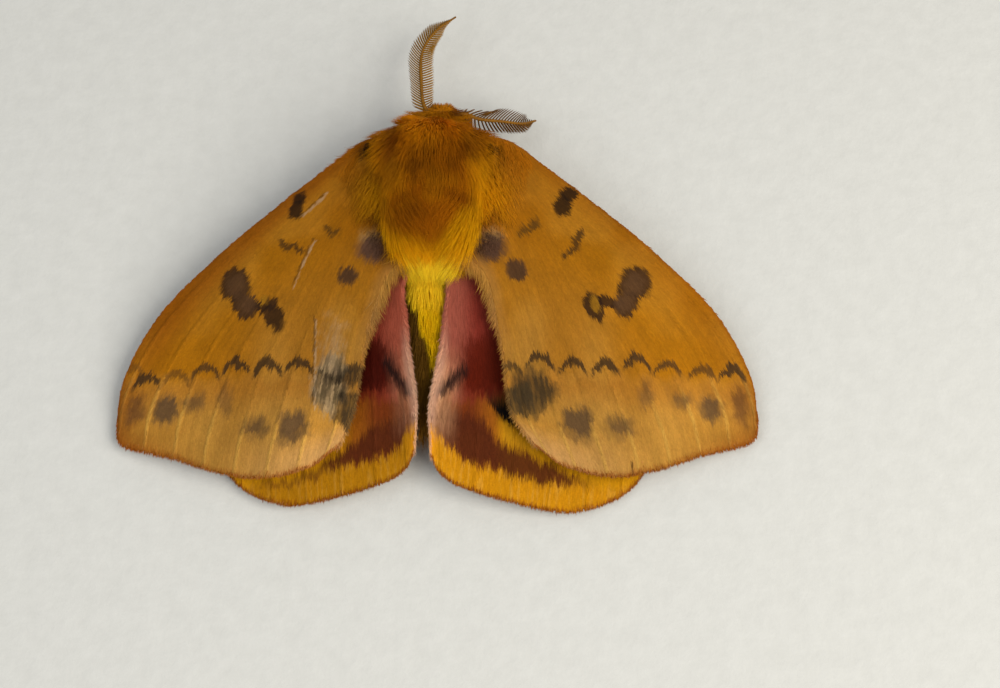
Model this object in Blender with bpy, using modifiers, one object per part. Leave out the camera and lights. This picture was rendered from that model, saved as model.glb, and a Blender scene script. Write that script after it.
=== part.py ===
"""A male io moth at life size, at rest with its wings spread over the floor.

The head points along +Y, the right wings along +X, and the feet stand at z = 0. Shapes are worked
out in millimetres, and each finished mesh is scaled to metres.
"""

import math
import random

import bmesh
import bpy
from mathutils import Matrix, Vector

MM = 0.001
SEED = 21
GAP = 0.3
WING_CLEARANCE = 0.5
ROOT_GAP = 0.45
SIDES = {"left": -1, "right": 1}
UP = Vector((0, 0, 1))

# Thorax: flesh as an egg, blunt in front, under a long coat
THORAX_CENTRE = Vector((-0.3, 4.1, 4.9))
THORAX_RADII = Vector((3.65, 5.8, 3.2))
THORAX_BLUNT_FRONT = 3.0
THORAX_BLUNT_REAR = 2.4

# Head and what it carries
HEAD_CENTRE = Vector((0.25, 9.95, 4.3))
HEAD_RADII = Vector((1.65, 1.3, 1.4))
EYE_RADIUS = 0.72
EYE_OUT = 1.7
EYE_AHEAD = 0.45
EYE_DOWN = 0.35
PALP_RADII = (0.42, 0.42, 0.2)
PALP_LENGTH = 1.3
PALP_OUT = 0.5

# Abdomen: y and z of its two ends, its radius and the swell of its segments
ABDOMEN_X = -0.75
ABDOMEN_FRONT = (0.6, 2.9)
ABDOMEN_TIP = (-14.0, 1.9)
ABDOMEN_RADIUS = 1.72
ABDOMEN_SEGMENTS = 7
ABDOMEN_STATIONS = 15
ABDOMEN_COAT = 0.5

# Antennae: the middle line of each from inside the head outwards, with paired branches
ANTENNA_LINE = {
    "left": ((-0.5, 10.2, 4.9), (-1.05, 11.3, 5.1), (-1.16, 13.53, 4.7), (-1.12, 15.6, 4.3),
             (-0.69, 17.2, 3.9), (0.15, 18.7, 3.5), (1.35, 20.2, 3.0)),
    "right": ((0.9, 10.1, 4.9), (2.0, 10.3, 5.2), (3.3, 10.1, 4.7), (4.9, 10.35, 3.9),
              (6.5, 10.8, 2.7), (7.65, 11.7, 1.5)),
}
RACHIS_RADII = (0.3, 0.2)
RAMUS_PITCH = 0.9
RAMUS_LENGTH = 1.45
RAMUS_THICKNESS = 0.48
RAMUS_BARE_ROOT = 1.5
RAMUS_BARE_TIP = 0.6

# Wings: outlines seen from above, as distances out from the pair's axis and along Y, and what
# each side's turn, spread and length make of them round the front of the wing's root
FOREWING = {
    "axis": 0.0,
    "root": (7.3, -0.9),
    "costa": ((8.0, 5.75), (11.4, 3.6), (16.8, -0.8), (20.95, -5.25), (23.3, -9.7)),
    "apex": (23.8, -13.1),
    "outer": ((23.3, -14.8), (19.5, -16.1), (16.4, -17.2), (12.95, -17.8), (9.4, -17.1)),
    "tornus": (7.2, -15.6),
    "inner": {
        "left": ((3.3, -2.9), (4.4, -6.0), (5.1, -8.8), (5.5, -13.0)),
        "right": ((2.7, -2.7), (3.6, -6.2), (4.5, -8.8), (5.9, -13.1)),
    },
    "turn": {"left": 0.5, "right": -0.3},
    "spread": {"left": 0.99, "right": 0.99},
    "length": {"left": 1.0, "right": 1.0},
    "cells": (14, 16),
    "discal_cell": (6, 3, 11),
}
HINDWING = {
    "axis": -0.8,
    "root": (1.8, -1.0),
    "costa": ((9.0, -0.6), (14.0, -4.6), (16.6, -10.5)),
    "apex": (16.3, -15.2),
    "outer": ((15.1, -17.4), (13.1, -19.0), (10.1, -19.85), (6.4, -19.3), (2.4, -18.2)),
    "tornus": (0.5, -16.8),
    "inner": {side: ((1.75, -3.4), (1.6, -6.0), (1.3, -9.0), (0.6, -12.9)) for side in SIDES},
    "turn": {"left": -0.1, "right": 0.4},
    "spread": {"left": 0.95, "right": 1.05},
    "length": {"left": 0.975, "right": 1.0},
    "cells": (10, 14),
    "discal_cell": (4, 3, 9),
}

# Wing heights: the forewing's plane falls outwards and backwards, the hindwing is one step lower
WING_ROOT_Z = 5.6
WING_FALL_OUT = 0.115
WING_FALL_BACK = 0.11
APEX_DROOP = 0.5
DROOP_START = 15.0
DROOP_RUN = 9.0
WING_STEP = 1.2
INNER_LIFT = 1.0
INNER_LIFT_WIDTH = 1.9
INNER_LIFT_END = -17.5
INNER_LIFT_RUN = 4.0
WING_THICKNESS = 0.5
VEIN_HEIGHT = 0.16
RAY_CROWDING = 1.7

# Locks of the coat: a flat spindle whose root is sunk in the flesh
LOCK_SIDES = 4
LOCK_SECTIONS = 3
LOCK_SINK = 0.55
LOCK_THICKNESS = 0.62

# Rows of thorax locks: degrees from the front pole, count, length, width and rise of each
THORAX_ROWS = (
    (22, 7, 2.6, 2.2, 1.5),
    (44, 8, 3.2, 2.6, 1.6),
    (66, 9, 3.5, 2.7, 1.6),
    (88, 9, 3.6, 2.7, 1.6),
    (110, 9, 3.6, 2.6, 1.6),
    (132, 8, 3.8, 2.3, 1.6),
    (150, 5, 3.4, 2.0, 1.5),
)
THORAX_LOCK_SPAN = 118
THORAX_CURL = 0.07

# Rows of abdomen locks: share of its length, count, length, width and rise of each
ABDOMEN_ROWS = (
    (0.13, 3, 2.8, 1.8, 0.95),
    (0.30, 4, 2.8, 1.7, 0.95),
    (0.47, 3, 2.8, 1.7, 0.95),
    (0.64, 4, 2.6, 1.4, 0.9),
    (0.80, 3, 2.3, 1.3, 0.85),
    (0.91, 5, 1.8, 1.0, 0.75),
)
ABDOMEN_LOCK_SPAN = 85
TAIL_LOCK_SPAN = 150

# Legs: hip, knee, ankle, heel and toe of each pair, out from the thorax's middle line
LEG_POINTS = {
    "fore": ((0.9, 7.4, 3.0), (2.9, 9.0, 2.7), (3.1, 9.3, 1.0), (3.0, 9.9, 0.2), (2.8, 11.2, 0.2)),
    "mid": ((1.5, 4.3, 2.8), (5.4, 5.0, 2.9), (7.3, 3.6, 1.2), (7.9, 2.6, 0.2), (8.5, 1.2, 0.2)),
    "hind": ((1.3, 1.4, 3.0), (4.5, -0.4, 2.6), (5.8, -4.4, 1.0), (6.1, -5.8, 0.2), (6.4, -7.6, 0.2)),
}
LEG_RADII = (0.62, 0.5, 0.36, 0.3, 0.28)

COLOURS = {
    "thorax": (0.30, 0.12, 0.01),
    "head": (0.32, 0.16, 0.02),
    "eye": (0.01, 0.008, 0.006),
    "palp": (0.25, 0.11, 0.02),
    "antenna": (0.42, 0.24, 0.09),
    "abdomen": (0.50, 0.28, 0.01),
    "forewing": (0.42, 0.18, 0.03),
    "hindwing": (0.45, 0.10, 0.02),
    "leg": (0.30, 0.11, 0.04),
}

for old in list(bpy.data.objects):
    bpy.data.objects.remove(old, do_unlink=True)

moth = bpy.data.collections.new("io_moth")
cutters = bpy.data.collections.new("cutters")
for group in (moth, cutters):
    bpy.context.scene.collection.children.link(group)
chance = random.Random(SEED)


def material(kind):
    """The finish that a kind of node shares, made at its first use."""
    found = bpy.data.materials.get(kind)
    if found:
        return found
    made = bpy.data.materials.new(kind)
    made.use_nodes = True
    shader = made.node_tree.nodes["Principled BSDF"]
    shader.inputs["Base Color"].default_value = (*COLOURS[kind], 1.0)
    shader.inputs["Roughness"].default_value = 0.25 if kind == "eye" else 0.85
    shader.inputs["Metallic"].default_value = 0.0
    return made


def mesh_object(name, bm, group):
    """A named object in a collection, facing outwards, from a bmesh that is then freed."""
    if bm.calc_volume(signed=True) < 0:
        bmesh.ops.reverse_faces(bm, faces=bm.faces)
    mesh = bpy.data.meshes.new(name)
    bm.to_mesh(mesh)
    bm.free()
    made = bpy.data.objects.new(name, mesh)
    group.objects.link(made)
    return made


def apply_modifiers(piece):
    """Puts the evaluated mesh in place of the mesh and its modifiers."""
    graph = bpy.context.evaluated_depsgraph_get()
    made = bpy.data.meshes.new_from_object(piece.evaluated_get(graph))
    piece.modifiers.clear()
    piece.data = made


def cut(piece, cutter):
    """Takes a cutter's shape out of the piece, and removes the cutter."""
    cutter.hide_render = True
    cutter.display_type = "WIRE"
    step = piece.modifiers.new("cut", "BOOLEAN")
    step.operation = "DIFFERENCE"
    step.solver = "MANIFOLD"
    step.object = cutter
    apply_modifiers(piece)
    bpy.data.objects.remove(cutter, do_unlink=True)


def union(piece, others):
    """Joins closed pieces to the first one, by one Boolean union on their collection."""
    gathered = bpy.data.collections.new("gathered")
    bpy.context.scene.collection.children.link(gathered)
    for other in others:
        gathered.objects.link(other)
    step = piece.modifiers.new("union", "BOOLEAN")
    step.operation = "UNION"
    step.solver = "MANIFOLD"
    step.operand_type = "COLLECTION"
    step.collection = gathered
    apply_modifiers(piece)
    for other in others:
        bpy.data.objects.remove(other, do_unlink=True)
    bpy.data.collections.remove(gathered)


def keep_largest(piece):
    """Leaves only the piece's largest closed surface, following faces across their edges."""
    bm = bmesh.new()
    bm.from_mesh(piece.data)
    waiting = set(bm.faces)
    shells = []
    while waiting:
        front = [waiting.pop()]
        shell = set(front)
        while front:
            near = {other for face in front for edge in face.edges for other in edge.link_faces}
            front = list(near - shell)
            shell |= near
        waiting -= shell
        shells.append(shell)
    largest = max(shells, key=len)
    bmesh.ops.delete(bm, geom=[face for face in bm.faces if face not in largest], context="FACES")
    bm.to_mesh(piece.data)
    bm.free()


def finish(piece, kind):
    """Gives a node its material and shading, and scales its mesh to metres."""
    keep_largest(piece)
    for vert in piece.data.vertices:
        vert.co *= MM
    piece.data.materials.clear()
    piece.data.materials.append(material(kind))
    piece.data.shade_smooth()
    piece.data.set_sharp_from_angle(angle=math.radians(40))


def ball(name, group, centre, radii, segments=24, rings=14, shape=None):
    """A closed ball with three radii and its poles on the Y axis; shape swells its sections."""
    bm = bmesh.new()
    bmesh.ops.create_uvsphere(bm, u_segments=segments, v_segments=rings, radius=1.0)
    for vert in bm.verts:
        across, along, up = vert.co.x, vert.co.z, -vert.co.y
        swell = shape(along) / math.sqrt(1 - along**2) if shape and abs(along) < 0.999 else 1.0
        offset = Vector((across * swell * radii.x, along * radii.y, up * swell * radii.z))
        vert.co = centre + offset
    return mesh_object(name, bm, group)


def tube(name, group, points, radii, roundness=1):
    """A closed tapered tube along a route, with flat caps."""
    curve = bpy.data.curves.new(name, "CURVE")
    curve.dimensions = "3D"
    curve.bevel_depth = 1.0
    curve.bevel_resolution = roundness
    curve.use_fill_caps = True
    spline = curve.splines.new("POLY")
    spline.points.add(len(points) - 1)
    for point, place, radius in zip(spline.points, points, radii):
        point.co = (*place, 1.0)
        point.radius = radius
    guide = bpy.data.objects.new(name, curve)
    group.objects.link(guide)
    graph = bpy.context.evaluated_depsgraph_get()
    mesh = bpy.data.meshes.new_from_object(guide.evaluated_get(graph))
    bpy.data.objects.remove(guide, do_unlink=True)
    bm = bmesh.new()
    bm.from_mesh(mesh)
    bmesh.ops.remove_doubles(bm, verts=bm.verts, dist=1e-4)
    bmesh.ops.recalc_face_normals(bm, faces=bm.faces)
    return mesh_object(name, bm, group)


def smooth_line(points, count):
    """Evenly spaced points along a smooth curve through the given ones."""
    points = [Vector(point) for point in points]
    guides = [2 * points[0] - points[1], *points, 2 * points[-1] - points[-2]]
    steps = 24
    fine = []
    for before, start, end, after in zip(guides, guides[1:], guides[2:], guides[3:]):
        slope_in = (end - before) * 0.5
        slope_out = (after - start) * 0.5
        for step in range(steps):
            t = step / steps
            point = start * (2 * t**3 - 3 * t**2 + 1) + end * (3 * t**2 - 2 * t**3)
            point += slope_in * (t**3 - 2 * t**2 + t) + slope_out * (t**3 - t**2)
            fine.append(point)
    fine.append(points[-1])
    lengths = [0.0]
    for here, there in zip(fine, fine[1:]):
        lengths.append(lengths[-1] + (there - here).length)
    found = []
    index = 0
    for number in range(count):
        wanted = lengths[-1] * number / (count - 1)
        while index < len(fine) - 2 and lengths[index + 1] < wanted:
            index += 1
        share = (wanted - lengths[index]) / (lengths[index + 1] - lengths[index])
        found.append(fine[index].lerp(fine[index + 1], share))
    return found


def lock(root, lie, out, length, width, rise, curl, thickness=LOCK_THICKNESS, sink=LOCK_SINK):
    """A tapered lock that leaves its root along the lie, rises outwards and curls back in."""
    across = lie.cross(out).normalized()
    bm = bmesh.new()
    bmesh.ops.create_cone(bm, cap_ends=True, segments=LOCK_SIDES, radius1=1, radius2=1, depth=1)
    lengthwise = [edge for edge in bm.edges if abs(edge.verts[0].co.z - edge.verts[1].co.z) > 0.5]
    bmesh.ops.subdivide_edges(bm, edges=lengthwise, cuts=LOCK_SECTIONS - 1)
    for vert in bm.verts:
        t = vert.co.z + 0.5
        height = rise * t * (2 - t) - sink - curl * (length * t) ** 2
        middle = root + lie * (length * t) + out * height
        wide = width / 2 * math.sin(math.pi * (0.28 + 0.68 * t))
        thick = thickness / 2 * (1 - 0.65 * t)
        vert.co = middle + across * (vert.co.x * wide) + out * (vert.co.y * thick)
    return mesh_object("lock", bm, moth)


def varied(value, share=0.12):
    return value * (1 + chance.uniform(-share, share))


def coat_of(locks, obstacles):
    """Joins a coat's locks and cuts them clear of what stands near."""
    coat, *others = locks
    union(coat, others)
    for obstacle in obstacles:
        cut(coat, obstacle)
    return coat


def thorax_section(along):
    """Share of the thorax's full width and height at a share of its half-length."""
    power = THORAX_BLUNT_FRONT if along > 0 else THORAX_BLUNT_REAR
    return math.sqrt(max(0.0, 1 - abs(along) ** power))


def thorax_surface(polar, round_axis):
    """A point of the thorax's flesh, the way back along it, and the way out of it."""

    def point(angle):
        along = math.cos(math.radians(angle))
        section = thorax_section(along)
        turn = math.radians(round_axis)
        across = Vector((math.sin(turn) * section, 0, math.cos(turn) * section))
        return THORAX_CENTRE + Vector(
            (across.x * THORAX_RADII.x, along * THORAX_RADII.y, across.z * THORAX_RADII.z)
        )

    place = point(polar)
    back = (point(polar + 2) - point(polar - 2)).normalized()
    turn = math.radians(round_axis)
    sideways = Vector((math.cos(turn), 0, -math.sin(turn)))
    out = sideways.cross(back).normalized()
    if out.dot(place - THORAX_CENTRE) < 0:
        out.negate()
    return place, back, out


def thorax_ball(name, group, extra=0.0):
    """The thorax's flesh, larger all round by a distance."""
    radii = THORAX_RADII + Vector((extra, extra, extra))
    return ball(name, group, THORAX_CENTRE, radii, shape=thorax_section)


def head_ball(name, group, extra=0.0):
    return ball(name, group, HEAD_CENTRE, HEAD_RADII + Vector((extra, extra, extra)), 20, 12)


def eye_centre(side):
    return HEAD_CENTRE + Vector((SIDES[side] * EYE_OUT, EYE_AHEAD, -EYE_DOWN))


def eye_ball(name, group, side, extra=0.0):
    radius = EYE_RADIUS + extra
    return ball(name, group, eye_centre(side), Vector((radius, radius, radius)), 14, 9)


def palp_tube(name, group, side, extra=0.0):
    """A short feeler under the face, bent down at its end."""
    root = HEAD_CENTRE + Vector((SIDES[side] * PALP_OUT, 0.6, -0.8))
    middle = root + Vector((0, 0.55 * PALP_LENGTH, 0.0))
    end = root + Vector((0, PALP_LENGTH, -0.3))
    return tube(name, group, (root, middle, end), [radius + extra for radius in PALP_RADII])


def leg_tube(name, group, pair, side, extra=0.0):
    """A leg from its hip to its toe, as one tapered tube with bends."""
    points = [(THORAX_CENTRE.x + SIDES[side] * out, y, z) for out, y, z in LEG_POINTS[pair]]
    return tube(name, group, points, [radius + extra for radius in LEG_RADII])


def abdomen_radius(t):
    """Radius at a share of the abdomen's length, with its segments as a slight swell."""
    profile = ABDOMEN_RADIUS * (1 - 0.5 * t**2) * math.sqrt(max(0.0, 1 - t**7))
    return profile * (1 + 0.035 * math.cos(2 * math.pi * ABDOMEN_SEGMENTS * t))


def abdomen_point(t):
    """A point on the abdomen's middle line."""
    y = ABDOMEN_FRONT[0] + (ABDOMEN_TIP[0] - ABDOMEN_FRONT[0]) * t
    z = ABDOMEN_FRONT[1] + (ABDOMEN_TIP[1] - ABDOMEN_FRONT[1]) * t
    return Vector((ABDOMEN_X, y, z))


def abdomen_tube(name, group, extra=0.0):
    """The abdomen's flesh as one tapered body, larger all round by a distance."""
    shares = [n / (ABDOMEN_STATIONS - 1) for n in range(ABDOMEN_STATIONS)]
    radii = [max(0.2, abdomen_radius(t)) + extra for t in shares]
    return tube(name, group, [abdomen_point(t) for t in shares], radii, 4)


def rachis(side, count):
    return smooth_line(ANTENNA_LINE[side], count)


def rachis_tube(name, group, side, extra=0.0):
    """The antenna's stem, tapered towards its tip."""
    count = 16
    first, last = RACHIS_RADII
    radii = [first + (last - first) * n / (count - 1) + extra for n in range(count)]
    return tube(name, group, rachis(side, count), radii)


def forewing_height(out, y):
    """Height of the forewing's middle surface."""
    droop = APEX_DROOP * max(0.0, (out - DROOP_START) / DROOP_RUN) ** 2
    return WING_ROOT_Z - WING_FALL_OUT * (out - 4) - WING_FALL_BACK * (5 - y) - droop


def hindwing_height(out, y):
    """Height of the hindwing's middle surface, lifted where it covers the abdomen's side."""
    fade = min(1.0, max(0.0, (y - INNER_LIFT_END) / INNER_LIFT_RUN))
    lift = INNER_LIFT * math.exp(-((out / INNER_LIFT_WIDTH) ** 2)) * fade
    plane = WING_ROOT_Z - WING_STEP - WING_FALL_OUT * (out - 4) - WING_FALL_BACK * (5 - y)
    return plane + lift


WINGS = {"forewing": (FOREWING, forewing_height), "hindwing": (HINDWING, hindwing_height)}


def wing_rows(shape, side):
    """Rows of (out, y) points over a wing, from the root to the outer margin and front to back."""
    along, across = shape["cells"]
    first, last = shape["root"]
    beside = SIDES[side] * (THORAX_CENTRE.x - shape["axis"])
    turn = Matrix.Rotation(math.radians(-shape["turn"][side]), 2)

    def root_point(y):
        section = thorax_section((y - THORAX_CENTRE.y) / THORAX_RADII.y)
        return Vector((THORAX_RADII.x * section + ROOT_GAP + beside, y))

    pivot = root_point(first)

    def placed(*points):
        found = []
        for out, y in points:
            offset = Vector((out * shape["spread"][side], y)) - pivot
            offset.y *= shape["length"][side]
            found.append(pivot + turn @ offset)
        return found

    stations = [(n / across) ** RAY_CROWDING for n in range(across + 1)]
    root = [root_point(first + (last - first) * share) for share in stations]
    costa = smooth_line([root[0], *placed(*shape["costa"], shape["apex"])], along + 1)
    inner = smooth_line([root[-1], *placed(*shape["inner"][side], shape["tornus"])], along + 1)
    outer = smooth_line(placed(shape["apex"], *shape["outer"], shape["tornus"]), across + 1)
    rows = []
    for i in range(along + 1):
        u = i / along
        row = []
        for j in range(across + 1):
            v = j / across
            edges = costa[i] * (1 - v) + inner[i] * v + root[j] * (1 - u) + outer[j] * u
            near = root[0] * (1 - v) + root[-1] * v
            far = outer[0] * (1 - v) + outer[-1] * v
            row.append(edges - near * (1 - u) - far * u)
        rows.append(row)
    return rows


def on_vein(shape, i, j):
    """Whether a grid point lies on a main vein: the rays, and the cell that some start from."""
    closing, front, rear = shape["discal_cell"]
    if i == 0 or i == shape["cells"][0]:
        return False
    if i == closing and front <= j <= rear:
        return True
    inside_cell = front < j < rear and i < closing
    return j % 2 == 1 and not inside_cell


def wing_sheet(name, group, kind, side):
    """A wing's membrane, one thickness all over, with its main veins raised in its surface."""
    shape, height = WINGS[kind]
    along, across = shape["cells"]
    rows = wing_rows(shape, side)
    bm = bmesh.new()
    bmesh.ops.create_grid(bm, x_segments=along, y_segments=across, size=0.5)
    for vert in bm.verts:
        i = round((vert.co.x + 0.5) * along)
        j = round((vert.co.y + 0.5) * across)
        out, y = rows[i][j]
        ridge = VEIN_HEIGHT if on_vein(shape, i, j) else 0.0
        vert.co = Vector((shape["axis"] + SIDES[side] * out, y, height(out, y) + ridge))
    bmesh.ops.triangulate(bm, faces=bm.faces, quad_method="FIXED")
    made = mesh_object(name, bm, group)
    wall = made.modifiers.new("thickness", "SOLIDIFY")
    wall.thickness = WING_THICKNESS
    wall.offset = 0.0
    apply_modifiers(made)
    return made


def wing_cutter(kind, side):
    """A wing, larger all round by the clearance that a coat keeps from it."""
    made = wing_sheet("cutter", cutters, kind, side)
    bm = bmesh.new()
    bm.from_mesh(made.data)
    bmesh.ops.recalc_face_normals(bm, faces=bm.faces)
    bm.normal_update()
    for vert in bm.verts:
        vert.co += vert.normal * vert.calc_shell_factor() * WING_CLEARANCE
    bm.to_mesh(made.data)
    bm.free()
    return made


def make_thorax():
    locks = []
    for row, (polar, count, length, width, rise) in enumerate(THORAX_ROWS):
        for number in range(count):
            share = (number + 0.25 + 0.5 * (row % 2)) / count
            turn = THORAX_LOCK_SPAN * (2 * share - 1) + chance.uniform(-3, 3)
            root, back, out = thorax_surface(polar + chance.uniform(-3, 3), turn)
            sway = Vector((SIDES["right"] * turn / 90, 0, 0)) * 0.25
            lie = (back + sway + Vector((chance.uniform(-0.12, 0.12), 0, 0))).normalized()
            lie = (lie - out * lie.dot(out)).normalized()
            locks.append(lock(root, lie, out, varied(length), width, varied(rise), THORAX_CURL))
    obstacles = [head_ball("cutter", cutters, GAP), abdomen_tube("cutter", cutters, ABDOMEN_COAT + GAP)]
    for side in SIDES:
        obstacles.append(eye_ball("cutter", cutters, side, GAP))
        obstacles.append(rachis_tube("cutter", cutters, side, GAP))
        obstacles.append(palp_tube("cutter", cutters, side, GAP))
        obstacles += [wing_cutter(kind, side) for kind in WINGS]
        obstacles += [leg_tube("cutter", cutters, pair, side, GAP) for pair in LEG_POINTS]
    coat = coat_of(locks, obstacles)
    thorax = thorax_ball("thorax", moth)
    union(thorax, [coat])
    return thorax


def make_abdomen():
    locks = []
    for row, (share, count, length, width, rise) in enumerate(ABDOMEN_ROWS):
        span = TAIL_LOCK_SPAN if share > 0.85 else ABDOMEN_LOCK_SPAN
        for number in range(count):
            place = (number + 0.25 + 0.5 * (row % 2)) / count
            turn = math.radians(span * (2 * place - 1) + chance.uniform(-4, 4))
            out = Vector((math.sin(turn), 0, math.cos(turn)))
            root = abdomen_point(share) + out * abdomen_radius(share)
            lie = Vector((chance.uniform(-0.08, 0.08), -1, -0.07)).normalized()
            lie = (lie - out * lie.dot(out)).normalized()
            locks.append(lock(root, lie, out, varied(length), width, varied(rise), 0.03))
    obstacles = [thorax_ball("cutter", cutters, GAP)]
    obstacles += [wing_cutter("hindwing", side) for side in SIDES]
    coat = coat_of(locks, obstacles)
    abdomen = abdomen_tube("abdomen", moth)
    cut(abdomen, thorax_ball("cutter", cutters, GAP))
    union(abdomen, [coat])
    return abdomen


def make_head():
    head = head_ball("head", moth)
    cut(head, thorax_ball("cutter", cutters, GAP))
    for side in SIDES:
        cut(head, eye_ball("cutter", cutters, side, GAP))
    return head


def make_eye(side):
    return eye_ball(f"eye_{side}", moth, side)


def make_palp(side):
    palp = palp_tube(f"palp_{side}", moth, side)
    cut(palp, head_ball("cutter", cutters, GAP))
    return palp


def make_antenna(side):
    """A stem with a row of branches on each side, slanted towards its tip."""
    stem = rachis_tube(f"antenna_{side}", moth, side)
    line = rachis(side, 60)
    total = sum((there - here).length for here, there in zip(line, line[1:]))
    usable = total - RAMUS_BARE_ROOT - RAMUS_BARE_TIP
    count = round(usable / RAMUS_PITCH)
    branches = []
    for number in range(count):
        share = (number + 0.5) / count
        distance = RAMUS_BARE_ROOT + usable * share
        index = min(len(line) - 2, int(distance / total * (len(line) - 1)))
        ahead = (line[index + 1] - line[index]).normalized()
        across = ahead.cross(UP).normalized()
        length = RAMUS_LENGTH * min(1.0, 0.65 + 2 * share) * (1 - 0.72 * share**2.5)
        for sign in SIDES.values():
            lie = (across * sign + ahead * 0.75).normalized()
            out = -across.cross(ahead).normalized()
            branches.append(
                lock(line[index], lie, out, length, RAMUS_THICKNESS, 0, 0.06, RAMUS_THICKNESS, 0)
            )
    union(stem, branches)
    cut(stem, head_ball("cutter", cutters, GAP))
    return stem


def make_leg(pair, side):
    """A leg that ends short of the thorax's flesh, with a flat under its foot at z = 0."""
    leg = leg_tube(f"leg_{pair}_{side}", moth, pair, side)
    cut(leg, thorax_ball("cutter", cutters, GAP))
    bm = bmesh.new()
    bm.from_mesh(leg.data)
    geometry = bm.verts[:] + bm.edges[:] + bm.faces[:]
    sole = bmesh.ops.bisect_plane(bm, geom=geometry, plane_no=(0, 0, -1), clear_outer=True)
    rim = [item for item in sole["geom_cut"] if isinstance(item, bmesh.types.BMEdge)]
    bmesh.ops.holes_fill(bm, edges=rim)
    bm.to_mesh(leg.data)
    bm.free()
    return leg


finish(make_thorax(), "thorax")
finish(make_abdomen(), "abdomen")
finish(make_head(), "head")
for side in SIDES:
    finish(make_eye(side), "eye")
    finish(make_palp(side), "palp")
    finish(make_antenna(side), "antenna")
    for kind in WINGS:
        finish(wing_sheet(f"{kind}_{side}", moth, kind, side), kind)
    for pair in LEG_POINTS:
        finish(make_leg(pair, side), "leg")
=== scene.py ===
"""A male io moth at life size, at rest with its wings spread over a pale floor.

Shapes are worked out in millimetres and scaled to metres. The head points along +Y. One skin stands
for the body's flesh and four thin membranes for the wings. Hairs and scales over them are solid
tufts, and a skin and its coat take their colours from the same painting functions.
"""

import itertools
import math

import bmesh
import bpy
import numpy as np
from mathutils import Matrix, Vector


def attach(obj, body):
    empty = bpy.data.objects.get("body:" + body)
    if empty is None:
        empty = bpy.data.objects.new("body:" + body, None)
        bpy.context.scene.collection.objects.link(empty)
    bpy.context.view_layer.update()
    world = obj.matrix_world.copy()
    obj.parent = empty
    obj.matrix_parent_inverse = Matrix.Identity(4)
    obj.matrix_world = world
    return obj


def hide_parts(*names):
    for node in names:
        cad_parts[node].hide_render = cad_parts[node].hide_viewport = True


MM = 0.001
SEED = 21
SIDES = {"left": -1, "right": 1}

# Body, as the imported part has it
THORAX_CENTRE = np.array((-0.3, 4.1, 4.9))
THORAX_RADII = np.array((3.65, 5.8, 3.2))
THORAX_BLUNT_FRONT = 3.0
THORAX_BLUNT_REAR = 2.4
ROOT_REACH = -1.1
HEAD_CENTRE = np.array((0.25, 9.95, 4.3))
HEAD_RADII = np.array((1.65, 1.3, 1.4))
EYE_RADIUS = 0.72
EYE_OUT = 1.7
EYE_AHEAD = 0.45
EYE_DOWN = 0.35
ABDOMEN_X = -0.75
ABDOMEN_FRONT = (0.6, 2.9)
ABDOMEN_TIP = (-14.0, 1.9)
ABDOMEN_RADIUS = 1.72
ABDOMEN_SEGMENTS = 7
SKIN_DEPTH = 0.3
SKIN_VOXEL = 0.15

ANTENNA_LINE = {
    "left": ((-0.5, 10.2, 4.9), (-1.1, 11.3, 5.1), (-1.3, 13.53, 4.7), (-1.35, 15.6, 4.3),
             (-1.0, 17.2, 3.9), (-0.05, 18.8, 3.5), (1.35, 20.2, 3.0)),
    "right": ((0.9, 10.1, 4.9), (2.0, 10.3, 5.2), (3.3, 10.1, 4.7), (4.9, 10.35, 3.9),
              (6.5, 10.8, 2.7), (7.65, 11.7, 1.5)),
}
LEG_POINTS = {
    "fore": ((0.9, 7.4, 3.0), (2.9, 9.0, 2.7), (3.1, 9.3, 1.0), (3.0, 9.9, 0.2), (2.8, 11.2, 0.2)),
    "mid": ((1.5, 4.3, 2.8), (5.4, 5.0, 2.9), (7.3, 3.6, 1.2), (7.9, 2.6, 0.2), (8.5, 1.2, 0.2)),
    "hind": ((1.3, 1.4, 3.0), (4.5, -0.4, 2.6), (5.8, -4.4, 1.0), (6.1, -5.8, 0.2),
             (6.4, -7.6, 0.2)),
}
LEG_RADII = (0.5, 0.38, 0.26, 0.17, 0.14)

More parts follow.
